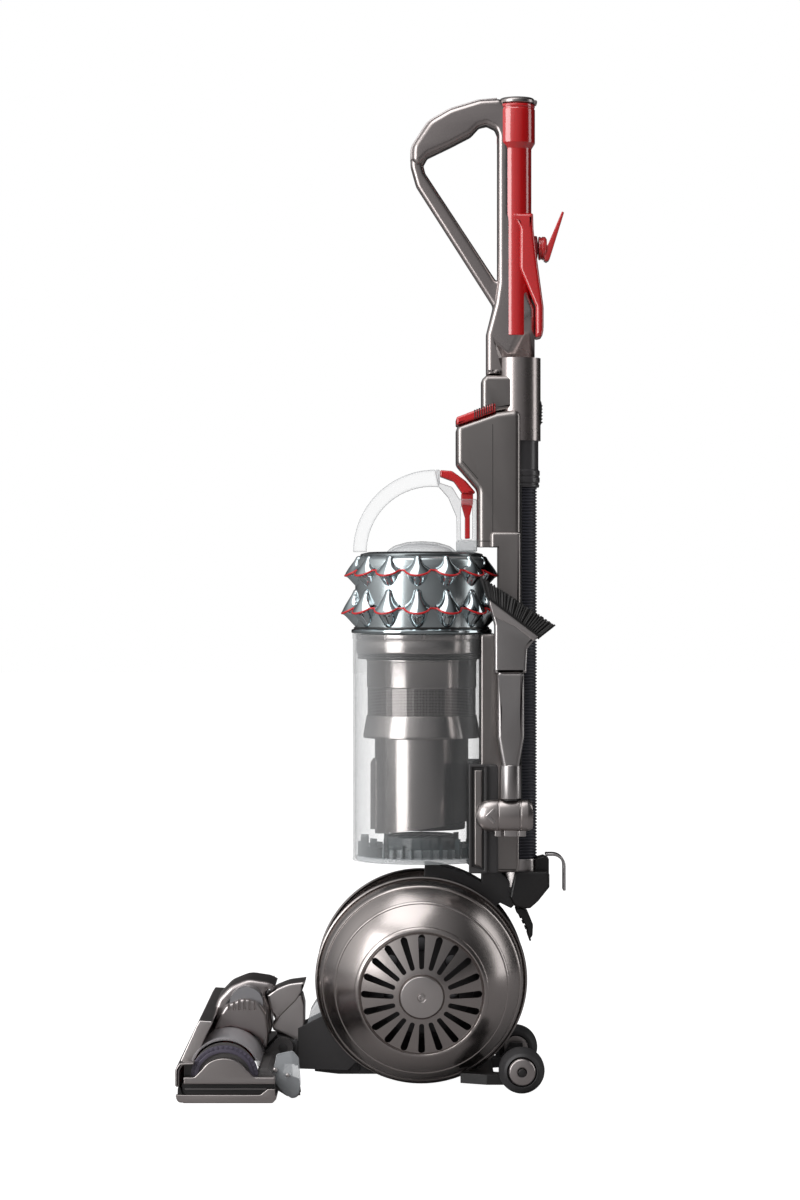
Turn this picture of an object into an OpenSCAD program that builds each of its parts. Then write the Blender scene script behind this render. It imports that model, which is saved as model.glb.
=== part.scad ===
// Upright vacuum cleaner with a rolling ball, a lift-off cyclone bin and a stowed hose and wand.
// X runs across the machine, -Y is the cleaner head's side, +Y the user's side and +Z is up.
// The floor is Z = 0, and the origin lies on it under the middle of the machine.

/* [Ball] */
// Diameter of the ball
ball_d = 242; // [240:0.5:243]
// Distance of the ball's axle behind the origin
ball_y = 50; // [48:0.5:52]
// Downward lean of each half shell's axle
shell_lean = 7; // [6:0.5:8]
// Wall of the half shells
shell_wall = 3; // [2.5:0.1:3.5]
// Vent slots in each half shell
slot_count = 20; // [12:1:22]

/* [Cleaner head] */
// Width of the cleaner head
head_w = 340; // [330:1:345]
// Radius of the brush bar over its bristles
brush_r = 23.5; // [20:0.5:24]

/* [Bin] */
// Outer diameter of the clear bin
bin_d = 150; // [148:0.5:151]
// Height of the bin's lower edge
bin_z = 241.4; // [241.2:0.1:243]
// Height of the bin's upper edge
bin_top_z = 489; // [485:0.5:490]
// Cyclones in each tier
cone_count = 14; // [10:1:14]

/* [Hose and wand] */
// Outer diameter of the hose
hose_d = 40; // [38:0.5:40]
// Outer diameter of the wand
wand_d = 34; // [33:0.2:34]
// Height of the wand's top edge
wand_top_z = 1068; // [1064:0.5:1068]

/* [Rear wheels] */
// Diameter of the stabiliser wheels
wheel_d = 49; // [46:0.5:49]
// Distance from the machine's middle to a stabiliser wheel's middle
wheel_x = 94; // [93:0.5:100]

/* [Hidden] */
$fn = 96;
gap = 0.4;
fit = 0.05;
ball_r = ball_d / 2;
rim_a = 38;
rim_r = sqrt(pow(ball_r, 2) - pow(rim_a, 2));
ball_z = rim_a * sin(shell_lean) + rim_r * cos(shell_lean);
drum_r = 98;
drum_w = 37;
can_r = 58;
can_x = 70;
cheek_x = 21.3;
cheek_w = 3.8;
axle_r = 8;
hub_r = 22.6;
hub_floor = 112;

brush_y = -157;
brush_z = 25;
arch_z = 28;
arch_r = 38;
sole_z = 0.6;
end_x = head_w / 2 - 18;
neck_y = -100;
neck_z = 40;
neck_r = 22;
roller_r = 7;
roller_y = -86;

bin_r = bin_d / 2;
bin_axis_y = ball_y;
bin_wall_t = 2.5;
collar_top_z = bin_top_z + 5.5;
tier_top_z = 578.7;
body_r = 73;
upper_ring_r = 72.5;
lower_ring_r = 76;
cone_r = 13.4;
cone_lean = 29;
cone_taper = 12;
dome_lean = 24;
upper_seal_z = 559;
lower_seal_z = 518;
seal_t = 1.6;
flap_pin_y = bin_axis_y + 73.5;
flap_pin_z = bin_z + 2.2;

hose_y = 157;
wand_y = 153.5;
wand_r = wand_d / 2;
post_rear_y = 147.5;
handle_w = 30;
tool_x = 76.5;
tool_y = 145.5;
wheel_y = 156.7;
wheel_z = wheel_d / 2;
hook_z = 911;
gland_y = 176;
gland_z = 229;
gland_r = 3.6;

// Points along an arc in the (Y, Z) plane
function arc(cy, cz, r, from, to, steps = 8) =
    [for (i = [0:steps]) let (a = from + (to - from) * i / steps) [cy + r * cos(a), cz + r * sin(a)]];

// A (Y, Z) outline made w thick across the machine about x
module side(w, x = 0) translate([x - w / 2, 0, 0]) rotate([90, 0, 90]) linear_extrude(w) children();

// A cylinder across the machine
module cross_rod(r, w, y, z, x = 0) translate([x - w / 2, y, z]) rotate([0, 90, 0]) cylinder(r = r, h = w);

// A cylinder along the machine, from y0 to y1
module long_rod(r, y0, y1, z, x = 0) translate([x, y1, z]) rotate([90, 0, 0]) cylinder(r = r, h = y1 - y0);

// An upright cylinder behind the origin
module post(r, y, z0, z1, x = 0) translate([x, y, z0]) cylinder(r = r, h = z1 - z0);

// A block given by its lowest and highest corners
module block(low, high) translate(low) cube(high - low);

// The upper half of a disc in the (Y, Z) plane
module half_disc(cy, cz, r) intersection() {
    translate([cy, cz]) circle(r = r);
    translate([cy - r, cz]) square([2 * r, r]);
}

// Both hands of a piece that is drawn on the right
module both() {
    children();
    mirror([1, 0, 0]) children();
}

// Places a piece on a half shell's axle, with the axle as its own Z
module on_axle() translate([0, ball_y, ball_z]) rotate([0, 90 + shell_lean, 0]) children();

// ---- chassis ----

// Two cheek plates that carry the motor can between the half shells, and the tie that holds the neck
module yoke_frame() color([0.25, 0.24, 0.24]) difference() {
    union() {
        both() side(cheek_w, cheek_x) {
            translate([ball_y, ball_z]) circle(r = 70);
            polygon([[10, 80], [-20, 92], [-84, 60], [-84, 16], [-30, 14], [16, 60]]);
        }
        block([-20, -84, 16], [20, -66, 64]);
    }
    cross_rod(can_r + fit, 60, ball_y, ball_z);
    long_rod(neck_r + fit, -90, -60, neck_z);
}

// Ribbed duct under the ball that takes the floor head's air to the upright body
module lower_duct() color([0.42, 0.4, 0.39]) difference() {
    side(34) polygon([[-66, 12], [-66, 46], [-40, 44], [-14, 36], [8, 26], [8, 9], [-40, 9]]);
    side(26) polygon([[-67, 20], [-67, 40], [-40, 38], [-14, 30], [0, 22], [0, 14], [-40, 14]]);
}

// ---- neck and cleaner head ----

// Swivelling pipe between the yoke and the head, with the two pins that the head tips on
module neck_pipe() color([0.3, 0.29, 0.29]) difference() {
    union() {
        long_rod(neck_r, -107, -66.4, neck_z);
        long_rod(neck_r + 1.5, -88.4, -84.4, neck_z);
        cross_rod(5, 68, neck_y, neck_z);
    }
    long_rod(neck_r - 4, -108, -61, neck_z);
}

// Frame of the head: front strip, end plates, rear beam, neck ears and roller brackets
module head_housing() color([0.45, 0.43, 0.42]) difference() {
    union() {
        side(2 * end_x) polygon([[-199.5, 36.2], [-187, 36.2], [-187, 41], [-199.5, 41]]);
        both() side(3, end_x + 1.5) {
            polygon([[-199.5, 9], [-104, 9], [-104, 26], [-118, 30], [-187, 41], [-199.5, 41]]);
            half_disc(brush_y, arch_z, arch_r - 4);
        }
        side(2 * end_x) polygon([[-121.5, 9], [-121.5, 34], [-112, 34], [-104, 26], [-104, 9]]);
        both() side(9, neck_r + 7) {
            translate([neck_y, neck_z]) circle(r = 11);
            polygon([[-121, 20], [-121, 34], [-107, 49], [-92, 33], [-104, 20]]);
        }
        both() for (x = [112, 134]) side(4, x)
            polygon([[-104, 9], [-104, 26], [-80, 18], [-78, 4], [-92, 3], [-101.6, 9]]);
    }
    long_rod(neck_r + 0.8, -110, -90, neck_z);
    long_rod(neck_r - 4, -125, -100, neck_z);
    cross_rod(5 + fit, 80, neck_y, neck_z);
    cross_rod(4 + fit, head_w, brush_y, brush_z);
    cross_rod(2.5 + fit, 300, roller_y, roller_r);
}

// Plate that slides on the floor, open under the brush bar
module soleplate() color([0.3, 0.29, 0.28]) difference() {
    side(head_w - 2) polygon([[-199, sole_z], [-106, sole_z], [-102, 5], [-102, 8.6], [-205, 8.6], [-205, 5]]);
    block([-end_x + 6, -186, -1], [end_x - 6, -130, 20]);
}

// Moulded cap that closes one end of the head and shows the arch of the brush chamber
module end_cap() color([0.47, 0.45, 0.44]) difference() {
    side(head_w / 2 - end_x - 4, (head_w / 2 + end_x + 4) / 2) {
        polygon([[-199, 9], [-103, 9], [-103, 27.5], [-199, 27.5]]);
        half_disc(brush_y, 26, 22);
    }
    block([head_w / 2 - 6, -192, 10], [head_w, -108, 20]);
}
module end_cap_right() end_cap();
module end_cap_left() mirror([1, 0, 0]) end_cap();

// Soft strip across the head's front edge
module bumper() color([0.38, 0.36, 0.36]) side(head_w) polygon([
    [-208, 18], [-208, 36], [-204, 41.2], [-200, 41.2], [-200, 9], [-204, 9], [-205.5, 15]]);

// Clear arched window over the brush bar
module window() color([0.85, 0.88, 0.9, 0.35]) side(2 * end_x - 1) polygon(concat(
    arc(brush_y, arch_z, arch_r, 12, 158, 20),
    arc(brush_y, arch_z, arch_r - 2.5, 158, 12, 20)));

// Housing of the brush bar's own motor, with six vents towards each side
module motor_pod() color([0.45, 0.43, 0.42]) difference() {
    side(112, 6) polygon(concat([[-177, 52], [-163, 91]], arc(-139, 90, 24, 150, 10, 10), [[-114.7, 48]]));
    cross_rod(arch_r + gap, 200, brush_y, arch_z);
    cross_rod(18.5, 100, -139, 90, 6);
    for (i = [0:5]) block([50, -157.5 + 6.6 * i, 86], [70, -154.5 + 6.6 * i, 100]);
}

// Motor that turns the brush bar
module brush_motor() color([0.6, 0.6, 0.62]) {
    cross_rod(18, 90, -139, 90, 6);
}

// Bright cover over the neck, swept up towards the ball
module wing_cover() color([0.6, 0.58, 0.57]) side(54) polygon(
    [[-113.5, 92], [-100, 103], [-76, 111], [-80, 91], [-90, 75], [-113.5, 75]]);

// Roller with four rows of bristles
module brush_bar() color([0.55, 0.1, 0.12]) {
    cross_rod(16, 2 * end_x - 12, brush_y, brush_z);
    cross_rod(4, 2 * end_x + 5, brush_y, brush_z);
    for (a = [0:90:270]) translate([0, brush_y, brush_z]) rotate([a + 20, 0, 0])
        block([-140, -2, 10], [140, 2, brush_r]);
}

// Small roller at the head's rear, on its own stub axle
module floor_roller() color([0.75, 0.75, 0.75]) {
    cross_rod(2.5, 30, roller_y, roller_r, 123);
    cross_rod(roller_r, 16, roller_y, roller_r, 123);
}
module roller_right() floor_roller();
module roller_left() mirror([1, 0, 0]) floor_roller();

// ---- ball ----

// Housing of the main motor: a drum between the half shells, a can through them, and the neck of the body
module motor_bucket() color([0.33, 0.31, 0.31]) difference() {
    union() {
        cross_rod(drum_r, drum_w, ball_y, ball_z);
        cross_rod(can_r, 2 * can_x, ball_y, ball_z);
        side(drum_w) polygon(concat([[ball_y, ball_z]], arc(ball_y, ball_z, ball_r - 1, 42, 88, 12)));
        side(drum_w) polygon([[116, 212], [128, 200], [148, 190], [154, 196], [154, 211], [136, 230.6], [116, 230.6]]);
    }
    cross_rod(can_r - 4, 2 * can_x - 8, ball_y, ball_z);
    both() for (a = [30:60:330]) translate([0, ball_y, ball_z]) rotate([a, 0, 0])
        translate([0, 38, 0]) cross_rod(7, 20, 0, 0, can_x);
    both() on_axle() cylinder(r = axle_r, h = 90);
}

// Main suction motor
module drive_motor() color([0.62, 0.62, 0.64]) difference() {
    cross_rod(46, 50, ball_y, ball_z);
    cross_rod(4 + fit, 60, ball_y, ball_z);
}

// Fan on the motor's shaft
module impeller() color([0.8, 0.8, 0.82]) {
    cross_rod(42, 14, ball_y, ball_z, 34);
    cross_rod(4, 56, ball_y, ball_z, 6);
}

// Ring of pleated filter paper that cleans the outgoing air
module post_filter() color([0.9, 0.9, 0.86]) difference() {
    cross_rod(52, 24, ball_y, ball_z, -46);
    cross_rod(24, 30, ball_y, ball_z, -46);
}

// The two stub axles that the half shells turn on
module shell_axles() color([0.7, 0.7, 0.72]) both() on_axle() translate([0, 0, 66])
    cylinder(r = axle_r, h = hub_floor - 0.5 - 66);

// One vent slot, wider at its outer end
module vent_slot() {
    translate([61, 0]) circle(r = 3.8);
    translate([33, 0]) circle(r = 2.5);
    polygon([[33, -2.5], [61, -3.8], [61, 3.8], [33, 2.5]]);
}

// Half of the ball: a spun shell with rings, a ring of vent slots and a recess for its hub cap
module half_shell() color([0.45, 0.43, 0.42]) on_axle() difference() {
    rotate_extrude($fn = 120) polygon(concat(
        [for (a = [0:16]) let (t = asin(rim_a / ball_r) + (78.2 - asin(rim_a / ball_r)) * a / 16)
            [ball_r * cos(t), ball_r * sin(t)]],
        [[hub_r + gap, 118], [hub_r + gap, hub_floor], [axle_r + fit, hub_floor], [axle_r + fit, 92],
         [14, 92], [14, 108.5], [26, 108.5]],
        [for (a = [0:16]) let (t = 77.3 - (77.3 - 18.8) * a / 16)
            [(ball_r - shell_wall) * cos(t), (ball_r - shell_wall) * sin(t)]]));
    for (i = [0:slot_count - 1]) rotate(i * 360 / slot_count)
        translate([0, 0, 90]) linear_extrude(40) vent_slot();
}
module shell_right() half_shell();
module shell_left() mirror([1, 0, 0]) half_shell();

// Round cap and screw head over a half shell's axle
module hub_cap() color([0.5, 0.48, 0.47]) on_axle() translate([0, 0, hub_floor]) rotate_extrude()
    polygon([[0, 0], [hub_r, 0], [hub_r, 6.2], [16, 7.6], [4, 8], [3, 7], [0, 7]]);
module hub_right() hub_cap();
module hub_left() mirror([1, 0, 0]) hub_cap();

// ---- upright body ----

// Backbone: cradle behind the bin, two rails beside the cyclones, and the head that takes the handle
module spine() color([0.42, 0.4, 0.4]) difference() {
    union() {
        side(60) polygon([[111.4, 560], [111.4, 647], [88, 674], [88, 715], [131, 730], [158.4, 734],
                          [158.4, 560]]);
        side(72) polygon([[125, 470], [158.4, 470], [158.4, 600], [125, 600]]);
        side(96) polygon([[113.5, 300], [113.5, 490], [136, 490], [156, 270], [156, 231], [113.5, 231]]);
        side(124) polygon([[101, 231], [101, 349], [133, 349], [133, 231]]);
    }
    post(bin_r + 3.5, bin_axis_y, 200, bin_top_z - 6);
    post(91, bin_axis_y, bin_top_z - 6, 584);
    post(hose_d / 2 + gap, hose_y, 200, 660);
    post(23 + gap, hose_y, 640, 800);
    both() block([9, 98, 712], [27.5, 126, 740]);
}

// Bevelled frames on both cheeks of the cradle
module cheek_panels() color([0.55, 0.53, 0.52]) both() difference() {
    block([62, 101, 232], [65, 121, 349]);
    block([63.5, 105, 237], [66, 117, 344]);
}

// Cup that holds the hose's lower end and closes the body's back
module hose_cup() color([0.5, 0.48, 0.48]) difference() {
    side(54) polygon([[154.4, 200], [154.4, 230.6], [156.4, 230.6], [156.4, 245], [190, 245], [190, 219],
                      [176, 200]]);
    post(hose_d / 2 + fit, hose_y, 230, 300);
    post(hose_d / 2 - 3, hose_y, 206, 300);
}

// Fixed hook for the wound lead
module lower_hook() color([0.5, 0.48, 0.48]) side(24) polygon(concat(
    [[190, 246.5], [186, 246.5], [186, 249.5]], arc(194, 235.5, 14, 90, 0, 8),
    [[208, 208.6], [205, 208.6]], arc(194, 235.5, 11, 0, 90, 8)));

// Grommet that the mains lead comes out of
module cord_gland() color([0.12, 0.12, 0.12]) difference() {
    union() {
        cross_rod(9, 3, gland_y, gland_z, -28.5);
        translate([-42, gland_y, gland_z]) rotate([0, 90, 0]) cylinder(r1 = 5, r2 = 7, h = 12.5);
    }
    cross_rod(gland_r, 20, gland_y, gland_z, -37.5);
}

// D-shaped handle with its post, flaring below into the socket on the body
module handle() color([0.5, 0.48, 0.47]) difference() {
    side(handle_w) difference() {
        polygon(concat([[121, 771], [121, 816], [129, 847], [43.5, 980.6]],
            arc(62, 1012, 25, 216, 130, 8), [[82, 1062.7], [114.6, 1072.6], [136.2, 1073.7],
            [post_rear_y, 1060], [post_rear_y, 948], [157, 931], [156.2, 887], [174.4, 843.7],
            [174.4, 771]]));
        polygon(concat([[132.5, 872], [54.4, 991.5]], arc(62, 1001, 10, 200, 120, 4),
            [[82, 1021], [104.8, 1033], [114.6, 1043], [122.3, 1044], [131, 1039.7], [134.8, 1033]]));
    }
    post(wand_r + gap, wand_y, 700, 1100);
    post(21 + gap, wand_y + 0.9, 1019, 1100);
    post(24, hose_y, 700, 792);
}

// Soft pad along the top of the grip
module grip_pad() color([0.3, 0.29, 0.29]) side(handle_w - 8) polygon([
    [62, 1051.3], [82, 1063], [114.6, 1072.9], [132, 1074], [132, 1076], [114.6, 1075], [81, 1065.4],
    [60.6, 1053.3]]);

// Collar that clamps the handle to the spine
module handle_sleeve() color([0.44, 0.42, 0.42]) difference() {
    side(44) polygon([[115.7, 728], [115.7, 768], [120.6, 770.6], [158.4, 770.6], [158.4, 734.4], [131.2, 730.4]]);
    post(23 + gap, hose_y, 700, 800);
    side(60) polygon([[60, 706], [131, 730.6], [170, 736.4], [170, 700], [60, 700]]);
    side(60) polygon([[80, 722.6], [131.6, 741.2], [131.6, 700], [80, 700]]);
}

// Red surround of the two switches on top of the spine's nose
module switch_bezel() color([0.75, 0.1, 0.12]) difference() {
    side(60) polygon([[88.2, 715.2], [131, 730.1], [131, 740.8], [88.2, 725.4]]);
    both() block([8.5, 97.5, 700], [28, 126.5, 760]);
}

// One push switch, pressed square to the sloping nose
module push_switch() side(17.6, 18) polygon([[99, 720], [125, 729], [125, 738.2], [99, 728.9]]);
module power_button() color([0.8, 0.12, 0.14]) push_switch();
module brush_button() color([0.2, 0.2, 0.2]) mirror([1, 0, 0]) push_switch();

// Cuff on the hose's upper end, with the spigot that runs up inside the wand
module hose_cuff() color([0.22, 0.22, 0.24]) difference() {
    union() {
        post(22.6, hose_y, 649, 755);
        post(20, hose_y, 755, 768);
        post(14.5, wand_y, 768, 1000);
        post(23.2, hose_y, 652, 668);
    }
    post(12.5, wand_y, 760, 1001);
    post(17, hose_y, 652, 760);
    post(hose_d / 2 + fit, hose_y, 640, 652);
    block([-8.6, 176.2, 716], [8.6, 182, 745]);
}

// Flexible hose, held straight down the body's back
module hose() color([0.25, 0.25, 0.3]) difference() {
    post(hose_d / 2, hose_y, 231, 651.5);
    post(hose_d / 2 - 3, hose_y, 230, 655);
}

// Button that lets the wand go from the cuff
module wand_catch() color([0.3, 0.3, 0.32]) block([-8, 178.5, 717], [8, 182.5, 744]);

// Red guide behind the wand that carries the upper lead hook
module wand_bracket() color([0.8, 0.06, 0.09]) difference() {
    union() {
        side(41) polygon([[post_rear_y + gap, 948], [157.4, 931], [156.6, 887], [174.8, 843.7], [174.8, 811],
                          [183.6, 814], [183.6, 846], [176, 896], [172.4, 930], [172.4, 948]]);
        long_rod(14, 165, 178, hook_z);
    }
    post(wand_r + gap, wand_y, 800, 960);
    long_rod(4 + fit, 171.2, 180, hook_z);
}

// Swivelling hook for the wound lead
module upper_hook() color([0.82, 0.08, 0.1]) {
    long_rod(13, 178.4, 187, hook_z);
    long_rod(4, 172, 179, hook_z);
    side(20) polygon([[185, 897], [187, 895.4], [190, 896], [206.6, 950.4], [204, 951], [187, 912]]);
}

// Red wand, drawn up out of the body by its collar
module wand() color([0.82, 0.06, 0.09]) difference() {
    union() {
        post(wand_r, wand_y, 815, 1024);
        post(21, wand_y + 0.9, 1026, wand_top_z);
        translate([0, wand_y + 0.9, 1020]) cylinder(r1 = wand_r, r2 = 21, h = 6);
    }
    post(wand_r - 2, wand_y, 810, 1080);
}

// Hinged cap over the wand's mouth
module wand_cap() color([0.45, 0.43, 0.42]) post(19.2, wand_y + 2, wand_top_z + 0.3, 1076);

// Rounded holder on the body's side that the spare tool stands on
module tool_holder() color([0.45, 0.43, 0.42]) difference() {
    union() {
        side(22, tool_x) {
            translate([125, 295]) circle(r = 17.2);
            polygon([[125, 277.8], [168, 277.8], [170, 283], [170, 307], [168, 312.2], [125, 312.2]]);
        }
        post(8, tool_y, 312, 340, tool_x);
        block([48, 137, 285], [67, 156, 305]);
    }
    block([40, 130, 280], [66, 180, 284]);
}

// Hard body of the spare tool
module tool_body() color([0.58, 0.56, 0.55]) difference() {
    union() {
        post(11.3, tool_y, 312.6, 349, tool_x);
        side(20, tool_x) polygon([[137.4, 349], [131, 381], [131, 447], [127.8, 448], [127.8, 500],
            [121.3, 526], [173.9, 486.4], [163.2, 475.7], [162, 448], [160, 447], [160, 381], [153.5, 349]]);
    }
    post(8 + gap, tool_y, 300, 342, tool_x);
    side(8, tool_x) polygon([[138, 380], [138, 460], [135, 500], [158, 480], [153, 460], [153, 380]]);
}

// Slide-on brush of the spare tool
module tool_brush() color([0.1, 0.1, 0.1]) side(13, tool_x) polygon(
    [[121.6, 526.4], [114.5, 551], [193.6, 498.6], [176.4, 482.6], [174.2, 486.8]]);

// Foot pedal at the back of the ball that frees the upright lock
module pedal() color([0.1, 0.1, 0.1]) side(34) polygon(concat(
    arc(ball_y, ball_z, 129, 17, 33, 8), arc(ball_y, ball_z, 123, 33, 17, 8)));

// ---- bin and cyclones ----

// Clear wall of the bin, with the two lugs that its flap hangs on
module bin_wall() color([0.9, 0.92, 0.93, 0.3]) difference() {
    union() {
        difference() {
            post(bin_r, bin_axis_y, bin_z, bin_top_z);
            post(bin_r - bin_wall_t, bin_axis_y, 200, 500);
        }
        both() block([9.4, 119.5, bin_z], [14, 126.4, bin_z + 5]);
    }
    block([-9.2, 110, 200], [9.2, 140, bin_z + 6.5]);
    cross_rod(1.5 + fit, 40, flap_pin_y, flap_pin_z);
}

// Clear flap that drops to empty the bin, with its hinge pin, seal cone and front catch
module base_flap() color([0.85, 0.88, 0.9, 0.4]) {
    difference() {
        union() {
            post(71, bin_axis_y, bin_z, bin_z + 4);
            translate([0, bin_axis_y, bin_z + 4]) cylinder(r1 = 45, r2 = 40, h = 16);
        }
        both() block([9, 118, 200], [15, 130, 260]);
        post(36, bin_axis_y, bin_z + 3, 270);
    }
    difference() {
        block([-8.8, 110, bin_z], [8.8, 126, bin_z + 4]);
        post(60, bin_axis_y, 200, 300);
    }
    cross_rod(1.5, 27.6, flap_pin_y, flap_pin_z);
}

// Ring that joins the clear wall to the cyclones
module bin_collar() color([0.45, 0.44, 0.44]) rotate_about_bin() polygon([
    [56, bin_top_z - 28.5], [71.6, bin_top_z - 28.5], [71.6, bin_top_z - 8], [70.4, bin_top_z - 7.4],
    [70.4, bin_top_z - 6], [71.8, bin_top_z - 5.4], [71.8, bin_top_z + 0.2], [77, bin_top_z + 0.2],
    [77, collar_top_z], [56, collar_top_z]]);

// A profile spun about the bin's axis
module rotate_about_bin() translate([0, bin_axis_y, 0]) rotate_extrude($fn = 120) children();

// Perforated shroud that holds back coarse dust, with its flared skirt
module shroud() color([0.5, 0.48, 0.47]) rotate_about_bin() polygon([
    [57, 460.3], [60, 460.3], [60, 429], [59.4, 428], [59.4, 400], [60.2, 399], [64, 375], [61.6, 375], [57.4, 398]]);

// Inner tube of the bin that collects the fine dust
module inner_cylinder() color([0.55, 0.53, 0.53]) difference() {
    union() {
        post(51.5, bin_axis_y, 265, 460.2);
        block([-1, bin_axis_y - 55, 273], [1, bin_axis_y - 50, 345]);
    }
    post(49, bin_axis_y, 200, 500);
    side(200) polygon([[-50, 260], [-50, 264.5], [150, 291.5], [150, 260]]);
}

// Pale housing that the small cyclones plug into
module cyclone_body() color([0.72, 0.76, 0.78]) rotate_about_bin() polygon([
    [body_r, collar_top_z + 0.1], [body_r, 566], [66, 575], [50, tier_top_z], [38, tier_top_z], [38, 574], [48, 574],
    [63, 571], [69, 564], [69, collar_top_z + 0.1]]);

// Places the small cyclones of a tier, each leaning out over its foot
module round_tier(ring_r, seal_z) for (i = [0:cone_count - 1])
    translate([0, bin_axis_y, 0]) rotate(i * 360 / cone_count - 3.8) translate([ring_r, 0, seal_z]) children();

// One tier of small cyclones: each is a foot below and a dome above its slanted seal, let into the body
module cone_tier(ring_r, seal_z, foot_h, dome_h) difference() {
    round_tier(ring_r, seal_z) {
        rotate([0, cone_lean, 0]) translate([0, 0, -foot_h])
            cylinder(r1 = cone_r - foot_h * tan(cone_taper), r2 = cone_r, h = foot_h - seal_t / 2, $fn = 32);
        difference() {
            rotate([0, -dome_lean, 0]) translate([0, 0, -8]) cylinder(r1 = cone_r + 2, r2 = 4, h = dome_h + 8, $fn = 32);
            rotate([0, cone_lean, 0]) translate([-40, -40, seal_t / 2 - 40]) cube([80, 80, 40]);
        }
    }
    post(body_r + 0.1, bin_axis_y, 400, 700);
    post(120, bin_axis_y, 400, collar_top_z + 0.2);
    difference() {  // kept clear of the spine and the hose behind
        block([-70, bin_axis_y + 40, 400], [70, bin_axis_y + 130, 700]);
        post(90, bin_axis_y, 390, 710);
    }
    post(hose_d / 2 + gap, hose_y, 400, 700);
}
module upper_cyclones() color([0.55, 0.6, 0.62]) cone_tier(upper_ring_r, upper_seal_z, 18, 14);
module lower_cyclones() color([0.55, 0.6, 0.62]) cone_tier(lower_ring_r, lower_seal_z, 24, 18);

// One tier's red soft seals between the feet and the domes
module seal_tier(ring_r, seal_z) difference() {
    round_tier(ring_r, seal_z) rotate([0, cone_lean, 0]) translate([0, 0, 0.1 - seal_t / 2])
        cylinder(r = cone_r + 0.6, h = seal_t - 0.2, $fn = 32);
    post(body_r + 0.1, bin_axis_y, 400, 700);
}
module cyclone_seals() color([0.85, 0.1, 0.1]) {
    seal_tier(upper_ring_r, upper_seal_z);
    seal_tier(lower_ring_r, lower_seal_z);
}

// Clear carrying arch, its rear post and the low dome that they stand on
module carry_handle() color([0.9, 0.92, 0.93, 0.35]) {
    difference() {
        side(26) difference() {
            polygon(concat(arc(65.4, tier_top_z, 90, 180, 90, 14), [[70.4, 668.7], [70.4, 654], [84, 649],
                [92, 636], [111.4, 636], [111.4, tier_top_z]]));
            polygon(concat(arc(62, tier_top_z, 71, 180, 92, 14), [[81.8, 635.6], [88.4, 619.2],
                [88.4, tier_top_z]]));
        }
        block([-7, 92, 583], [7, 107, 640]);
    }
    translate([0, bin_axis_y, 0]) rotate_extrude() polygon([
        [0, 582], [37, tier_top_z], [37, 575], [37.8, 575], [37.8, 580], [30, 585], [16, 589], [0, 590]]);
}

// Red release of the bin: thumb cap on top and its stem down inside the rear post
module bin_trigger() color([0.85, 0.08, 0.1]) {
    side(24) polygon([[71, 668.5], [84, 667], [99, 656], [111, 642], [94.5, 642], [86, 655.5], [71, 660.5]]);
    block([-6, 93, 592], [6, 106, 643]);
}

// ---- stabiliser ----

// Tongue round the motor drum and the arms that spread from it to the rear wheels
module stand() color([0.12, 0.12, 0.12]) {
    side(32) polygon(concat(arc(ball_y, ball_z, 112, -100, -62, 8), arc(ball_y, ball_z, drum_r + gap, -62, -100, 8)));
    difference() {
        translate([0, 0, 6]) linear_extrude(11) polygon([[-16, 98], [-62, 92], [-76, 120], [-76, 150],
            [-62, 150], [-52, 128], [52, 128], [62, 150], [76, 150], [76, 120], [62, 92], [16, 98]]);
        post(68, ball_y, 0, 30);
        cross_rod(112, 32, ball_y, ball_z);
    }
    both() side(8, 70) polygon([[140, 8], [150, 8], [164, 18], [164, 32], [150, 32], [140, 16]]);
    both() cross_rod(4, 46, wheel_y, wheel_z, 95);
}

// Bun-shaped rear wheel
module rear_wheel() color([0.25, 0.24, 0.24]) translate([wheel_x, wheel_y, wheel_z]) rotate([0, 90, 0]) rotate_extrude()
    polygon(concat([[4 + fit, 20], [4 + fit, -18], [16, -18]],
        [for (a = [-60:12:72]) [8 + (wheel_z - 8) * cos(a), 18 * sin(a)]], [[13, 20]]));
module wheel_right() rear_wheel();
module wheel_left() mirror([1, 0, 0]) rear_wheel();

// ---- drawing ----

yoke_frame();
lower_duct();
neck_pipe();
head_housing();
soleplate();
end_cap_right();
end_cap_left();
bumper();
window();
motor_pod();
brush_motor();
wing_cover();
brush_bar();
roller_right();
roller_left();
motor_bucket();
drive_motor();
impeller();
post_filter();
shell_axles();
shell_right();
shell_left();
hub_right();
hub_left();
spine();
cheek_panels();
hose_cup();
lower_hook();
cord_gland();
handle();
grip_pad();
handle_sleeve();
switch_bezel();
power_button();
brush_button();
hose_cuff();
hose();
wand_catch();
wand_bracket();
wand();
wand_cap();
upper_hook();
tool_holder();
tool_body();
tool_brush();
pedal();
bin_wall();
base_flap();
bin_collar();
shroud();
inner_cylinder();
cyclone_body();
upper_cyclones();
lower_cyclones();
cyclone_seals();
carry_handle();
bin_trigger();
stand();
wheel_right();
wheel_left();
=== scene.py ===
import math
import random

import bmesh
import bpy
from mathutils import Matrix, Vector


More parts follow.
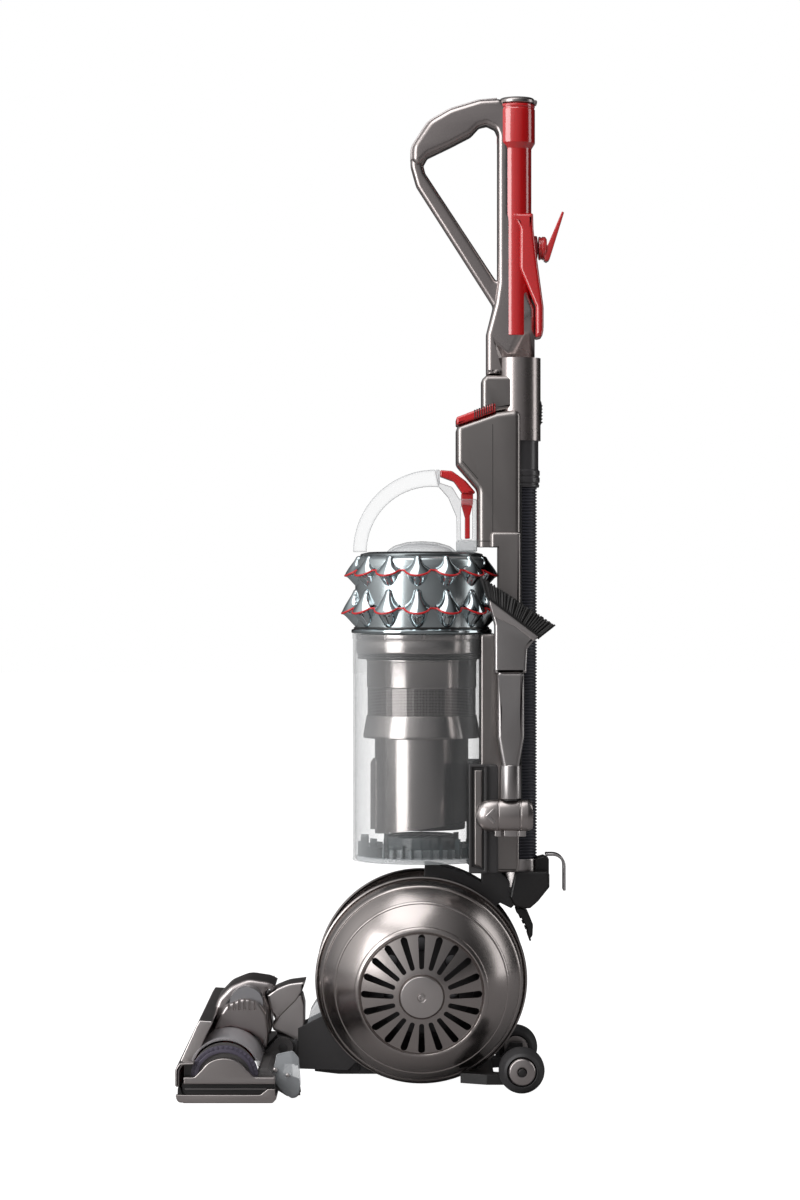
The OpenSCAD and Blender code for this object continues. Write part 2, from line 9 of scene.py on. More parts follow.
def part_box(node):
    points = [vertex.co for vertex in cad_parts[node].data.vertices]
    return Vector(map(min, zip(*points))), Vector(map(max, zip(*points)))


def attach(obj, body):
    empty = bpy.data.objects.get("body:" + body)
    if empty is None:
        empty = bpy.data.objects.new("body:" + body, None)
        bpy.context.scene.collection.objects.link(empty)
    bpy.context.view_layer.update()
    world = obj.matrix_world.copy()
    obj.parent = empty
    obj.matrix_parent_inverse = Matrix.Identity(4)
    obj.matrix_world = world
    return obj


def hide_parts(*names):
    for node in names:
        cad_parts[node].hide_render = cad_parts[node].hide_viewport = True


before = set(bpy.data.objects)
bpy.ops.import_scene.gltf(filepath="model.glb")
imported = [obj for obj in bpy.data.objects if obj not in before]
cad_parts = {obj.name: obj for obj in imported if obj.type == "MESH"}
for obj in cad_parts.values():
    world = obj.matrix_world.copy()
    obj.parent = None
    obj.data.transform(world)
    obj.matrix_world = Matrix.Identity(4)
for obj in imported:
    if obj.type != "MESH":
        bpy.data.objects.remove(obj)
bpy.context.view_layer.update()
bpy.ops.object.select_all(action="DESELECT")

# ---- Camera ----
# The machine is seen square from its right side, from far off with a long lens,
# so the wheels, the bin and the handle keep their real proportions.

mm = 0.001

bpy.ops.object.camera_add(location=(3.6, 0.027, 0.526), rotation=(math.pi / 2, 0, math.pi / 2))
camera = bpy.context.object
camera.data.lens = 98.6
bpy.context.scene.camera = camera

# ---- Studio ----
# White floor and surroundings, a tall soft box in front on the left, a narrow one on the right
# and a broad one overhead, which draw the long upright highlights on the tubes and the bin.

scene = bpy.context.scene
scene.view_settings.view_transform = "Standard"

world = scene.world or bpy.data.worlds.new("studio")
scene.world = world
world.use_nodes = True
nodes, links = world.node_tree.nodes, world.node_tree.links
nodes.clear()
world_out = nodes.new("ShaderNodeOutputWorld")
seen_white = nodes.new("ShaderNodeBackground")
seen_white.inputs["Color"].default_value = (1, 1, 1, 1)
room = nodes.new("ShaderNodeBackground")
room_tone = nodes.new("ShaderNodeValToRGB")
for place, tone in ((0.0, 0.012), (0.45, 0.03), (0.62, 0.20), (0.80, 0.34), (1.0, 0.52)):
    stop = room_tone.color_ramp.elements.new(place)
    stop.color = (tone, tone, tone * 1.02, 1)
room_tone.color_ramp.elements.remove(room_tone.color_ramp.elements[0])
room_tone.color_ramp.elements.remove(room_tone.color_ramp.elements[-1])
direction = nodes.new("ShaderNodeTexCoord")
bright_side = nodes.new("ShaderNodeVectorMath")
bright_side.operation = "DOT_PRODUCT"
bright_side.inputs[1].default_value = Vector((0.42, -0.74, 0.52)).normalized()
spread = nodes.new("ShaderNodeMapRange")
spread.inputs["From Min"].default_value = -1
ray = nodes.new("ShaderNodeLightPath")
choose = nodes.new("ShaderNodeMixShader")
links.new(direction.outputs["Generated"], bright_side.inputs[0])
links.new(bright_side.outputs["Value"], spread.inputs["Value"])
links.new(spread.outputs["Result"], room_tone.inputs["Fac"])
links.new(room_tone.outputs["Color"], room.inputs["Color"])
links.new(ray.outputs["Is Camera Ray"], choose.inputs["Fac"])
links.new(room.outputs[0], choose.inputs[1])
links.new(seen_white.outputs[0], choose.inputs[2])
links.new(choose.outputs[0], world_out.inputs["Surface"])

bpy.ops.mesh.primitive_plane_add(size=40, location=(0, 0, 0))
floor = bpy.context.object
floor.name = "floor"
paint = bpy.data.materials.new("floor_white")
paint.use_nodes = True
shader = paint.node_tree.nodes["Principled BSDF"]
shader.inputs["Base Color"].default_value = (0.34, 0.33, 0.33, 1)
shader.inputs["Roughness"].default_value = 0.8
shader.inputs["Emission Color"].default_value = (1, 1, 1, 1)
seen = paint.node_tree.nodes.new("ShaderNodeLightPath")
paint.node_tree.links.new(seen.outputs["Is Camera Ray"], shader.inputs["Emission Strength"])
floor.data.materials.append(paint)

soft_boxes = [  # name, place, width, height, watts
    ("left_box", (1.75, -2.00, 1.05), 1.50, 2.30, 42),
    ("right_strip", (-0.10, 2.45, 1.05), 0.80, 2.30, 10),
    ("top_box", (0.90, -0.60, 2.90), 2.00, 1.90, 26),
]
aim = Vector((0, 0.03, 0.50))
for name, place, wide, tall, watts in soft_boxes:
    bpy.ops.object.light_add(type="AREA", location=place)
    light = bpy.context.object
    light.name = name
    light.data.shape = "RECTANGLE"
    light.data.size, light.data.size_y, light.data.energy = wide, tall, watts
    light.rotation_euler = (aim - Vector(place)).to_track_quat("-Z", "Y").to_euler()


# ---- Motor housing inside the ball ----
# A moulded drum stands between the two half shells, with a can through it for the motor and the
# filter, and a shoulder above that carries the body. It is glass-filled plastic in one pour.


def rounded(corners, closed=True, turn=12):
    """Points of an outline whose (a, b, radius) corners are joined by arcs, one point every few degrees."""
    points, count = [], len(corners)
    for i, (a, b, radius) in enumerate(corners):
        here = Vector((a, b))
        if radius == 0 or (not closed and i in (0, count - 1)):
            points.append(here)
            continue
        before = Vector(corners[i - 1][:2]) - here
        after = Vector(corners[(i + 1) % count][:2]) - here
        half = before.angle(after) / 2
        reach = min(radius / math.tan(half), 0.49 * before.length, 0.49 * after.length)
        true_radius = reach * math.tan(half)
        inward = (before.normalized() + after.normalized()).normalized()
        middle = here + inward * (true_radius / math.sin(half))
        start = here + before.normalized() * reach - middle
        sweep = (math.pi - 2 * half) * (1 if before.cross(after) < 0 else -1)
        steps = max(2, round(math.degrees(abs(sweep)) / turn))
        points += [middle + Matrix.Rotation(sweep * k / steps, 2) @ start for k in range(steps + 1)]
    return points


def settle(piece, sharp=32, weld=0.01):
    """Welds a new mesh, turns its faces outward, puts its place into the mesh and smooths it by angle."""
    bpy.ops.object.select_all(action="DESELECT")
    bpy.context.view_layer.objects.active = piece
    piece.select_set(True)
    bpy.ops.object.transform_apply(location=True, rotation=True, scale=True)
    bpy.ops.object.mode_set(mode="EDIT")
    bpy.ops.mesh.select_all(action="SELECT")
    bpy.ops.mesh.remove_doubles(threshold=weld * mm)
    bpy.ops.mesh.normals_make_consistent(inside=False)
    bpy.ops.object.mode_set(mode="OBJECT")
    bpy.ops.object.shade_smooth_by_angle(angle=math.radians(sharp))
    return piece


def turned(name, profile, place=Matrix.Identity(4), steps=96, closed=True, sharp=32):
    """A piece spun about its own Z from (radius, height) points in mm, then set in place."""
    mesh = bpy.data.meshes.new(name)
    corners = [(r * mm, 0, h * mm) for r, h in profile]
    rim = [(i, i + 1) for i in range(len(corners) - 1)] + ([(len(corners) - 1, 0)] if closed else [])
    mesh.from_pydata(corners, rim, [])
    piece = bpy.data.objects.new(name, mesh)
    bpy.context.collection.objects.link(piece)
    bpy.ops.object.select_all(action="DESELECT")
    bpy.context.view_layer.objects.active = piece
    piece.select_set(True)
    bpy.ops.object.mode_set(mode="EDIT")
    bpy.ops.mesh.select_all(action="SELECT")
    bpy.ops.mesh.spin(steps=steps, angle=2 * math.pi, center=(0, 0, 0), axis=(0, 0, 1))
    bpy.ops.object.mode_set(mode="OBJECT")
    piece.matrix_world = place
    return settle(piece, sharp)


def plate(name, outlines, width, x=0.0, edge=1.0, rings=3, sharp=32):
    """A piece cut to a (Y, Z) outline in mm, further outlines being its holes, with rounded edges."""
    curve = bpy.data.curves.new(name, "CURVE")
    curve.dimensions, curve.fill_mode = "2D", "BOTH"
    curve.extrude, curve.bevel_depth = (width / 2 - edge) * mm, edge * mm
    curve.offset, curve.bevel_resolution = -edge * mm, rings
    for outline in outlines:
        spline = curve.splines.new("POLY")
        spline.points.add(len(outline) - 1)
        for point, (y, z) in zip(spline.points, outline):
            point.co = (y * mm, z * mm, 0, 1)
        spline.use_cyclic_u = True
    piece = bpy.data.objects.new(name, curve)
    bpy.context.collection.objects.link(piece)
    bpy.ops.object.select_all(action="DESELECT")
    bpy.context.view_layer.objects.active = piece
    piece.select_set(True)
    bpy.ops.object.convert(target="MESH")
    piece = bpy.context.object
    piece.matrix_world = Matrix(((0, 0, 1, x * mm), (1, 0, 0, 0), (0, 1, 0, 0), (0, 0, 0, 1)))
    return settle(piece, sharp, weld=0.002)


def apply_all(piece):
    """Applies every modifier of a piece, in order."""
    bpy.ops.object.select_all(action="DESELECT")
    bpy.context.view_layer.objects.active = piece
    piece.select_set(True)
    for modifier in list(piece.modifiers):
        bpy.ops.object.modifier_apply(modifier=modifier.name)


def bite(piece, cutter, sharp=32):
    """Cuts one piece's shape out of another and throws the cutter away."""
    cut = piece.modifiers.new("bite", "BOOLEAN")
    cut.operation, cut.solver, cut.object = "DIFFERENCE", "EXACT", cutter
    apply_all(piece)
    bpy.data.objects.remove(cutter)
    bpy.ops.object.shade_smooth_by_angle(angle=math.radians(sharp))
    return piece


def joined(pieces, name):
    """Several meshes made one."""
    bpy.ops.object.select_all(action="DESELECT")
    for piece in pieces:
        piece.select_set(True)
    bpy.context.view_layer.objects.active = pieces[0]
    bpy.ops.object.join()
    pieces[0].name = pieces[0].data.name = name
    return pieces[0]


def softened(node, edge=0.8, name=None, sharp=32):
    """A copy of a plain node with its triangles welded into faces and its hard edges rolled over."""
    piece = bpy.data.objects.new(name or node + "_rounded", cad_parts[node].data.copy())
    piece.data.materials.clear()
    bpy.context.collection.objects.link(piece)
    settle(piece, sharp)
    bpy.ops.object.mode_set(mode="EDIT")
    bpy.ops.mesh.select_all(action="SELECT")
    bpy.ops.mesh.dissolve_limited(angle_limit=math.radians(1))
    bpy.ops.object.mode_set(mode="OBJECT")
    roll = piece.modifiers.new("roll", "BEVEL")
    roll.width, roll.segments, roll.limit_method = edge * mm, 2, "ANGLE"
    roll.angle_limit, roll.harden_normals = math.radians(40), False
    apply_all(piece)
    bpy.ops.object.shade_smooth_by_angle(angle=math.radians(sharp))
    return piece


def socketed(tree, kind, name, direction, value):
    """One named socket of a shader group."""
    socket = tree.interface.new_socket(name=name, in_out=direction, socket_type="NodeSocket" + kind)
    if direction == "INPUT":
        socket.default_value = value


grain = bpy.data.node_groups.new("moulded_grain", "ShaderNodeTree")
for kind, name, way, value in (
        ("Color", "Color", "INPUT", (0.5, 0.5, 0.5, 1)), ("Float", "Grain Scale", "INPUT", 2600.0),
        ("Float", "Shade Change", "INPUT", 0.08), ("Float", "Roughness", "INPUT", 0.3),
        ("Float", "Roughness Change", "INPUT", 0.06), ("Color", "Color", "OUTPUT", None),
        ("Float", "Roughness", "OUTPUT", None), ("Float", "Height", "OUTPUT", None)):
    socketed(grain, kind, name, way, value)
taken = grain.nodes.new("NodeGroupInput")
given = grain.nodes.new("NodeGroupOutput")
where = grain.nodes.new("ShaderNodeTexCoord")
fine = grain.nodes.new("ShaderNodeTexNoise")
fine.inputs["Detail"].default_value = 3
broad = grain.nodes.new("ShaderNodeTexNoise")
broad.inputs["Scale"].default_value = 22
broad.inputs["Detail"].default_value = 4
shade = grain.nodes.new("ShaderNodeMix")
shade.data_type, shade.blend_type = "RGBA", "MULTIPLY"
level = grain.nodes.new("ShaderNodeMapRange")
level.inputs["To Min"].default_value = 0.55
level.inputs["To Max"].default_value = 1.3
blur = grain.nodes.new("ShaderNodeMath")
blur.operation = "SUBTRACT"
blur.inputs[1].default_value = 0.5
blur_size = grain.nodes.new("ShaderNodeMath")
blur_size.operation = "MULTIPLY_ADD"
both = grain.nodes.new("ShaderNodeMath")
both.operation = "MULTIPLY_ADD"
both.inputs[1].default_value = 0.35
for a, b in (
        (where.outputs["Object"], fine.inputs["Vector"]), (where.outputs["Object"], broad.inputs["Vector"]),
        (taken.outputs["Grain Scale"], fine.inputs["Scale"]), (fine.outputs["Fac"], both.inputs[0]),
        (broad.outputs["Fac"], both.inputs[2]), (both.outputs[0], level.inputs["Value"]),
        (taken.outputs["Shade Change"], shade.inputs["Factor"]), (taken.outputs["Color"], shade.inputs["A"]),
        (level.outputs["Result"], shade.inputs["B"]), (shade.outputs["Result"], given.inputs["Color"]),
        (broad.outputs["Fac"], blur.inputs[0]), (blur.outputs[0], blur_size.inputs[0]),
        (taken.outputs["Roughness Change"], blur_size.inputs[1]),
        (taken.outputs["Roughness"], blur_size.inputs[2]),
        (blur_size.outputs[0], given.inputs["Roughness"]), (fine.outputs["Fac"], given.inputs["Height"])):
    grain.links.new(a, b)


def moulded(name, color, rough=0.3, metal=0.0, coat=0.0, coat_rough=0.1, bump=0.1, scale=2600, shade=0.1,
            change=0.06, specular=0.5):
    """A moulded finish: the shared grain feeds colour, roughness and a fine bump, the rest is plain."""
    material = bpy.data.materials.new(name)
    material.use_nodes = True
    tree = material.node_tree
    shader = tree.nodes["Principled BSDF"]
    skin = tree.nodes.new("ShaderNodeGroup")
    skin.node_tree = grain
    skin.inputs["Color"].default_value = (*color, 1)
    skin.inputs["Grain Scale"].default_value = scale
    skin.inputs["Shade Change"].default_value = shade
    skin.inputs["Roughness"].default_value = rough
    skin.inputs["Roughness Change"].default_value = change
    relief = tree.nodes.new("ShaderNodeBump")
    relief.inputs["Strength"].default_value = bump
    relief.inputs["Distance"].default_value = 0.0001
    tree.links.new(skin.outputs["Color"], shader.inputs["Base Color"])
    tree.links.new(skin.outputs["Roughness"], shader.inputs["Roughness"])
    tree.links.new(skin.outputs["Height"], relief.inputs["Height"])
    tree.links.new(relief.outputs["Normal"], shader.inputs["Normal"])
    shader.inputs["Metallic"].default_value = metal
    shader.inputs["Coat Weight"].default_value = coat
    shader.inputs["Coat Roughness"].default_value = coat_rough
    shader.inputs["Specular IOR Level"].default_value = specular
    return material


def fitted(piece, material, body, slot, *replaced):
    """Gives a finished piece its material and the body it rides on, and hides the nodes it stands for; the
    slot is not used.
    """
    piece.data.materials.clear()
    piece.data.materials.append(material)
    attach(piece, body)
    if replaced:
        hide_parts(*replaced)
    return piece


def dressed(node, material):
    """A finish for a node whose own shape is right."""
    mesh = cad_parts[node].data
    mesh.materials.clear()
    mesh.materials.append(material)


graphite = moulded("graphite_plastic", (0.045, 0.043, 0.044), rough=0.38, bump=0.25, scale=1900, shade=0.2)
motor_steel = moulded("motor_metal", (0.52, 0.52, 0.54), rough=0.3, metal=1.0, scale=900)
filter_paper = moulded("filter_paper", (0.72, 0.71, 0.66), rough=0.9, bump=0.6, scale=700, shade=0.25)

fitted(softened("motor_bucket", 1.0), graphite, "upright", "graphite", "motor_bucket")
fitted(softened("yoke_frame", 0.8), graphite, "chassis", "graphite", "yoke_frame")
for node in ("drive_motor", "impeller", "shell_axles"):
    dressed(node, motor_steel)
dressed("post_filter", filter_paper)

# ---- Half shells of the ball ----
# Each is one turned shape in satin nickel-coloured plastic, running on a stub axle that leans seven
# degrees down. A bright bead closes its rim and twenty vent slots ring the hub.

satin = dict(rough=0.29, metal=1.0, bump=0.12, scale=3000, shade=0.12)
nickel = moulded("nickel_satin", (0.43, 0.395, 0.385), **satin)
nickel_light = moulded("nickel_light", (0.56, 0.525, 0.515), **satin)
shell_finish = moulded("shell_nickel", (0.40, 0.365, 0.352), rough=0.25, metal=1.0, coat=0.25, bump=0.1,
    scale=3000)
lean = math.radians(7)
hub_low, hub_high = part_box("hub_right")
ball_middle = Vector((0, (hub_low.y + hub_high.y) / 2, (hub_low.z + hub_high.z) / 2))
axle_reach = (hub_low.x + hub_high.x) / 2
ball_middle.z += axle_reach * math.tan(lean)
ball_radius = 121
slot_count = 20


def sphere_at(radius, sunk=0.0):
    """A profile point on the ball at a distance from the axle, sunk below its surface."""
    along = math.sqrt(ball_radius ** 2 - radius ** 2)
    share = 1 - sunk / ball_radius
    return radius * share, along * share


def shell_profile():
    """Inside of the rim, out over the bead, recessed band, two dished rings, vents, and back inside."""
    outer = [(111.4, 37.4), (113.2, 36.4), (114.6, 36.6), (115.0, 38.2), (114.4, 40.0), (113.0, 40.6)]
    outer += [sphere_at(r, 2.4) for r in (114.4, 113, 111.5, 110)]
    outer += [sphere_at(109.8, 0.2), sphere_at(109.0, -0.3), sphere_at(107.6, -0.3), sphere_at(107.0, 0.2)]
    outer += [sphere_at(106.8, 1.0)] + [sphere_at(r, 1.0) for r in (104, 101, 98, 95.5)]
    outer += [sphere_at(95.2, 0.1), sphere_at(94.2, -0.2), sphere_at(93.2, 0.1), sphere_at(92.8, 0.9)]
    outer += [sphere_at(r, 0.9) for r in (90, 87, 84, 81, 78, 75, 72.6)]
    outer += [sphere_at(72.2, 0.4), sphere_at(71.4, -0.5), sphere_at(69.8, -0.8), sphere_at(68.2, -0.5),
        sphere_at(67.4, 0.4), sphere_at(67.0, 2.6)]
    outer += [(64.5, 100.2), (56, 103.6), (47, 106.9), (38, 110.0), (30, 112.5), (26.4, 113.6)]
    outer += [(24.6, 114.0), (24.0, 113.6), (23.2, 112.4), (8.2, 112.2), (8.2, 92.2), (14, 92.2),
        (14, 108.5)]
    inner = [(26, 109.0), (40, 105.0), (56, 99.4), (66, 95.0)]
    inner += [sphere_at(r, 4.4) for r in (71, 78, 85, 92, 98, 103, 107, 110, 112.5)]
    return outer + inner


def vent_cutter(x_side, place):
    """Twenty wedges that open the vent slots in one go."""
    wedge = rounded([(29.6, -2.5, 2.4), (64.6, -3.85, 3.7), (64.6, 3.85, 3.7), (29.6, 2.5, 2.4)], turn=22)
    corners, faces, ring = [], [], len(wedge)
    for i in range(slot_count):
        turn = Matrix.Rotation(2 * math.pi * i / slot_count, 2)
        first = len(corners)
        for level in (88, 128):
            corners += [(p.x * mm, p.y * mm, level * mm) for p in (turn @ q for q in wedge)]
        faces += [[first + k for k in range(ring)][::-1], [first + ring + k for k in range(ring)]]
        faces += [[first + k, first + (k + 1) % ring, first + ring + (k + 1) % ring,
            first + ring + k] for k in range(ring)]
    mesh = bpy.data.meshes.new("slots")
    mesh.from_pydata(corners, [], faces)
    cutter = bpy.data.objects.new("slots", mesh)
    bpy.context.collection.objects.link(cutter)
    cutter.matrix_world = place
    return settle(cutter)


for hand, side_name in ((1, "right"), (-1, "left")):
    axle_frame = Matrix.Translation(ball_middle) @ Matrix.Rotation(hand * (math.pi / 2 + lean), 4, "Y")
    shell = turned("shell_" + side_name + "_turned", shell_profile(), axle_frame, steps=160, sharp=28)
    bite(shell, vent_cutter(hand, axle_frame), sharp=28)
    fitted(shell, shell_finish, side_name + "_shell", "nickel", "shell_" + side_name)

    # Hub cap with a small screw in its middle, pressed into the shell's recess
    cap = turned("hub_" + side_name + "_cap", rounded([(0.01, 112.2, 0), (22.4, 112.2, 0.4),
        (22.4, 116.6, 0.9), (12, 117.8, 20), (4.9, 118.2, 0.3), (4.6, 117.2, 0.3), (3.6, 117.0, 0.2),
        (3.4, 117.8, 0.4), (1.6, 118.0, 0.2), (1.5, 116.0, 0.1), (0.01, 116.0, 0)], closed=False, turn=18),
        axle_frame, steps=72, closed=False, sharp=28)
    fitted(cap, nickel_light, side_name + "_shell", "nickel_light", "hub_" + side_name)

# ---- Stabiliser and its wheels ----
# A black moulded stand swings down behind the ball. It carries two bun-shaped wheels, each a grey
# plastic boss in a soft black tyre on a steel pin.

black = moulded("black_plastic", (0.016, 0.015, 0.015), rough=0.33, bump=0.2, scale=1800, shade=0.25)
tyre_rubber = moulded("tyre_rubber", (0.030, 0.029, 0.030), rough=0.46, bump=0.35, scale=1400, shade=0.25)
fitted(softened("stand", 1.2), black, "stand", "black_rubber", "stand")

for hand, side_name in ((1, "right"), (-1, "left")):
    low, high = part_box("wheel_" + side_name)
    middle = (low + high) / 2
    radius, half = (high.z - low.z) / 2 / mm, (high.x - low.x) / 2 / mm
    middle.x = hand * 0.094
    axle_frame = Matrix.Translation(middle) @ Matrix.Rotation(hand * math.pi / 2, 4, "Y")
    tyre = turned("wheel_" + side_name + "_tyre", rounded([(13.6, -16.5, 1.5), (radius - 6, -15.5, 5),
        (radius, -6, 7), (radius, 5, 7), (radius - 5, 14.6, 4), (16.2, 17.2, 1), (15.6, 15.6, 0.4),
        (15.0, 13, 0.3)], turn=10), axle_frame, steps=72)
    fitted(tyre, tyre_rubber, side_name + "_wheel", "nickel", "wheel_" + side_name)
    boss = turned("wheel_" + side_name + "_boss", rounded([(4.1, -16.2, 0.4), (13.4, -16.2, 0.8),
        (14.6, -12, 1), (14.6, 16.4, 1.2), (13, 18.4, 1.4), (6.4, 19.2, 0.6), (4.9, 19.0, 0.5),
        (4.3, 17.6, 0.3), (4.1, 12, 0)], turn=12), axle_frame, steps=64)
    fitted(boss, nickel, side_name + "_wheel", "nickel")

# ---- Rear cover and foot pedal ----
# The black cover closes the body's back under the hose. The pedal below it is a lever with a ribbed
# tread, pressed to free the body so that it can recline.

cover = plate("rear_cover", [rounded([(152, 231, 1), (187, 231, 2), (189.5, 228, 2), (189.5, 214, 2),
    (177, 198.5, 3), (168.5, 191, 2), (162, 190.6, 1), (152, 192.5, 2), (146, 203, 2)], turn=20)], 62,
    edge=3)
fitted(cover, black, "upright", "graphite")
lever = plate("pedal_lever", [rounded([(152.6, 188.6, 1.5), (159.5, 190.6, 2.5), (166.5, 186, 4),
    (172.2, 172, 5), (171.6, 160, 4), (168.2, 155.4, 1.5), (166.6, 158.5, 2), (165.2, 168, 4),
    (160.5, 177.5, 4), (153.8, 185.6, 1.5)], turn=16)], 34, edge=1.4)
fitted(lever, black, "foot_pedal", "black_rubber", "pedal")
tread = []
for i in range(5):
    angle = math.radians(17 + 3.1 * i)
    bpy.ops.mesh.primitive_cube_add(size=1, location=(0, 0.05 + 0.1245 * math.cos(angle),
        0.11865 + 0.1245 * math.sin(angle)))
    rib = bpy.context.object
    rib.scale = (0.028, 0.0022, 0.0022)
    rib.rotation_euler.x = angle
    tread.append(rib)
tread = joined(tread, "pedal_tread")
settle(tread)
roll = tread.modifiers.new("roll", "BEVEL")
roll.width, roll.segments = 0.0007, 2
apply_all(tread)
fitted(tread, black, "foot_pedal", "black_rubber")

# ---- Lower duct ----
# A ribbed duct runs under the ball and takes the head's air up to the body. It is one moulding with
# ribs across it, screwed between the yoke's cheeks.

duct = plate("duct_body", [rounded([(-66, 12, 1), (-66, 46, 2), (-40, 44, 6), (-14, 36, 8), (8, 26, 2),
    (8, 9, 3), (-40, 9, 3)], turn=14)], 33, edge=2)
fitted(duct, graphite, "chassis", "nickel", "lower_duct")
ribs = []
for i in range(6):
    y, top = -62 + 10.5 * i, 45.5 - 3.1 * i
    rib = plate("rib", [rounded([(y, 13, 0.5), (y, top, 1), (y + 3.4, top, 1), (y + 3.4, 13, 0.5)],
        turn=45)], 36.5, edge=0.8, rings=1)
    ribs.append(rib)
fitted(joined(ribs, "duct_ribs"), black, "chassis", "nickel")

# ---- Neck ----
# A swivelling pipe joins the yoke to the cleaner head. It is a graphite moulding with a sealing
# collar, and the head tips on its two pins.

fitted(softened("neck_pipe", 0.8), graphite, "neck", "graphite", "neck_pipe")

# ---- Cleaner head frame ----
# The frame holds the brush chamber: front strip, end plates, rear beam, ears for the neck and two
# roller brackets, all one moulding, given a dark grey finish rather than nickel.

frame_grey = moulded("frame_grey", (0.085, 0.08, 0.08), rough=0.34, bump=0.2, scale=2000, shade=0.2)
fitted(softened("head_housing", 0.7), frame_grey, "head", "nickel", "head_housing")

# ---- Soleplate, bumper and front visor ----
# The soleplate slides on the floor and is open under the brush. A soft bumper hooks over the head's
# front edge, and a plain sloping visor closes the head between the bumper and the motor pod.

sole = softened("soleplate", 0.8)
fitted(sole, nickel, "head", "nickel", "soleplate")
half_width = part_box("bumper")[1].x / mm
bumper_skin = moulded("bumper_skin", (0.30, 0.275, 0.27), rough=0.36, metal=0.85, bump=0.2, scale=2400)
lip = plate("bumper_strip", [rounded([(-207.8, 17.5, 3), (-207.8, 36, 6), (-203.5, 42.6, 4),
    (-188, 43.2, 0.8), (-188, 40.6, 0.8), (-200, 40.2, 3), (-203.4, 34, 3), (-203.4, 17.8, 1.2)], turn=12)],
    2 * half_width - 0.6, edge=1.6)
fitted(lip, bumper_skin, "head", "nickel", "bumper")
lower_lip = plate("bumper_rubber", [rounded([(-205.6, 9, 1), (-205.2, 17, 1.2), (-202.4, 17, 1),
    (-199.6, 9.2, 0.8)], turn=20)], 2 * half_width - 4, edge=1)
fitted(lower_lip, black, "head", "nickel")
visor = plate("front_visor", [rounded([(-205.4, 38.4, 1.2), (-186.6, 79.5, 4), (-183.6, 84.5, 2),
    (-169, 83.6, 1.6), (-176, 70, 4), (-190.4, 38.2, 1.2)], turn=12)], 300, edge=1.4)
fitted(visor, nickel_light, "head", "nickel")

# ---- End caps ----
# A moulded cap closes each end: an arch over the chamber stands on a flat foot, with fillets at its
# feet, and a long black slot runs under it above the skirt. A ribbed gasket lines the chamber's arch.

gasket_skin = moulded("gasket_rubber", (0.075, 0.066, 0.095), rough=0.42, bump=0.3, scale=1500, shade=0.3)
for hand, side_name in ((1, "right"), (-1, "left")):
    arch = [(-157 + 24.4 * math.cos(a),
        28.5 + 18.9 * math.sin(a)) for a in (math.radians(d) for d in range(25, 156, 10))]
    cap = plate("end_cap_" + side_name + "_arch", [rounded([(-103.5, 20.6, 1), (-103.5, 27.6, 1),
        (-126, 27.6, 6)] + [(y, z, 0) for y, z in arch] + [(-188, 27.6, 6), (-199, 27.6, 1),
        (-199, 20.6, 1)], turn=12)], 13.6, x=hand * 163.2, edge=1.2)
    fitted(cap, nickel, "head", "nickel", "end_cap_" + side_name)
    skirt = plate("end_cap_" + side_name + "_skirt", [rounded([(-205.5, 1.2, 5), (-207.6, 9.5, 1),
        (-201, 9.2, 1), (-119, 9.2, 4), (-111, 15.5, 3), (-103.4, 15.5, 1), (-103.4, 4.5, 3),
        (-108, 1.2, 2)], turn=15)], 6, x=hand * 166.6, edge=0.9)
    fitted(skirt, nickel, "head", "nickel")
    slot_back = plate("end_cap_" + side_name + "_slot", [rounded([(-201, 8.6, 1), (-201, 21.2, 1),
        (-104, 21.2, 1), (-104, 8.6, 1)], turn=30)], 7, x=hand * 161, edge=0.6)
    fitted(slot_back, black, "head", "nickel")
    bar = plate("end_cap_" + side_name + "_bar", [rounded([(-198, 14.0, 0.7), (-198, 15.9, 0.7),
        (-112, 15.9, 0.7), (-112, 14.0, 0.7)], turn=30)], 4, x=hand * 164.5, edge=0.5)
    fitted(bar, frame_grey, "head", "nickel")
    band = []
    for ring, (inner, outer, depth) in enumerate(((30.4, 35.4, 5.4), (27.4, 31.2, 7.4))):
        circle = [(-157 + outer * math.cos(math.radians(d)),
            27.5 + outer * 0.90 * math.sin(math.radians(d))) for d in range(0, 181, 6)]
        circle += [(-157 + inner * math.cos(math.radians(d)),
            27.5 + inner * 0.88 * math.sin(math.radians(d))) for d in range(180, -1, -6)]
        band.append(plate("gasket", [circle], depth, x=hand * 153.6, edge=0.5, rings=1))
    for i in range(18):
        angle = math.radians(12 + i * 9.1)
        tooth = plate("tooth",
            [[(-157 + r * math.cos(angle + t), 27.5 + r * 0.90 * math.sin(angle + t)) for r,
            t in ((31.6, -0.035), (34.9, -0.032), (34.9, 0.032), (31.6, 0.035))]], 6.6, x=hand * 153.6,
            edge=0.3, rings=1)
        band.append(tooth)
    fitted(joined(band, "chamber_gasket_" + side_name), gasket_skin, "head", "nickel")

# ---- Brush window ----
# A clear arched cover over the brush bar, bowed like the chamber, shows the bristles turning below.


def grown(name, work_mesh):
    """An object made from a finished bmesh, which is freed."""
    mesh = bpy.data.meshes.new(name)
    work_mesh.to_mesh(mesh)
    work_mesh.free()
    piece = bpy.data.objects.new(name, mesh)
    bpy.context.collection.objects.link(piece)
    return piece


def clear_plastic(name, tint, least=0.08, most=0.6, rough=0.05, specular=0.5):
    """Clear moulded plastic: see-through face on, denser and glossier where it turns away."""
    material = moulded(name, tint, rough=rough, bump=0.03, scale=500, shade=0.05, change=0.02,
        specular=specular)
    tree = material.node_tree
    turn_away = tree.nodes.new("ShaderNodeLayerWeight")
    turn_away.inputs["Blend"].default_value = 0.22
    amount = tree.nodes.new("ShaderNodeMapRange")
    amount.inputs["To Min"].default_value = least
    amount.inputs["To Max"].default_value = most
    tree.links.new(turn_away.outputs["Facing"], amount.inputs["Value"])
    tree.links.new(amount.outputs["Result"], tree.nodes["Principled BSDF"].inputs["Alpha"])
    return material


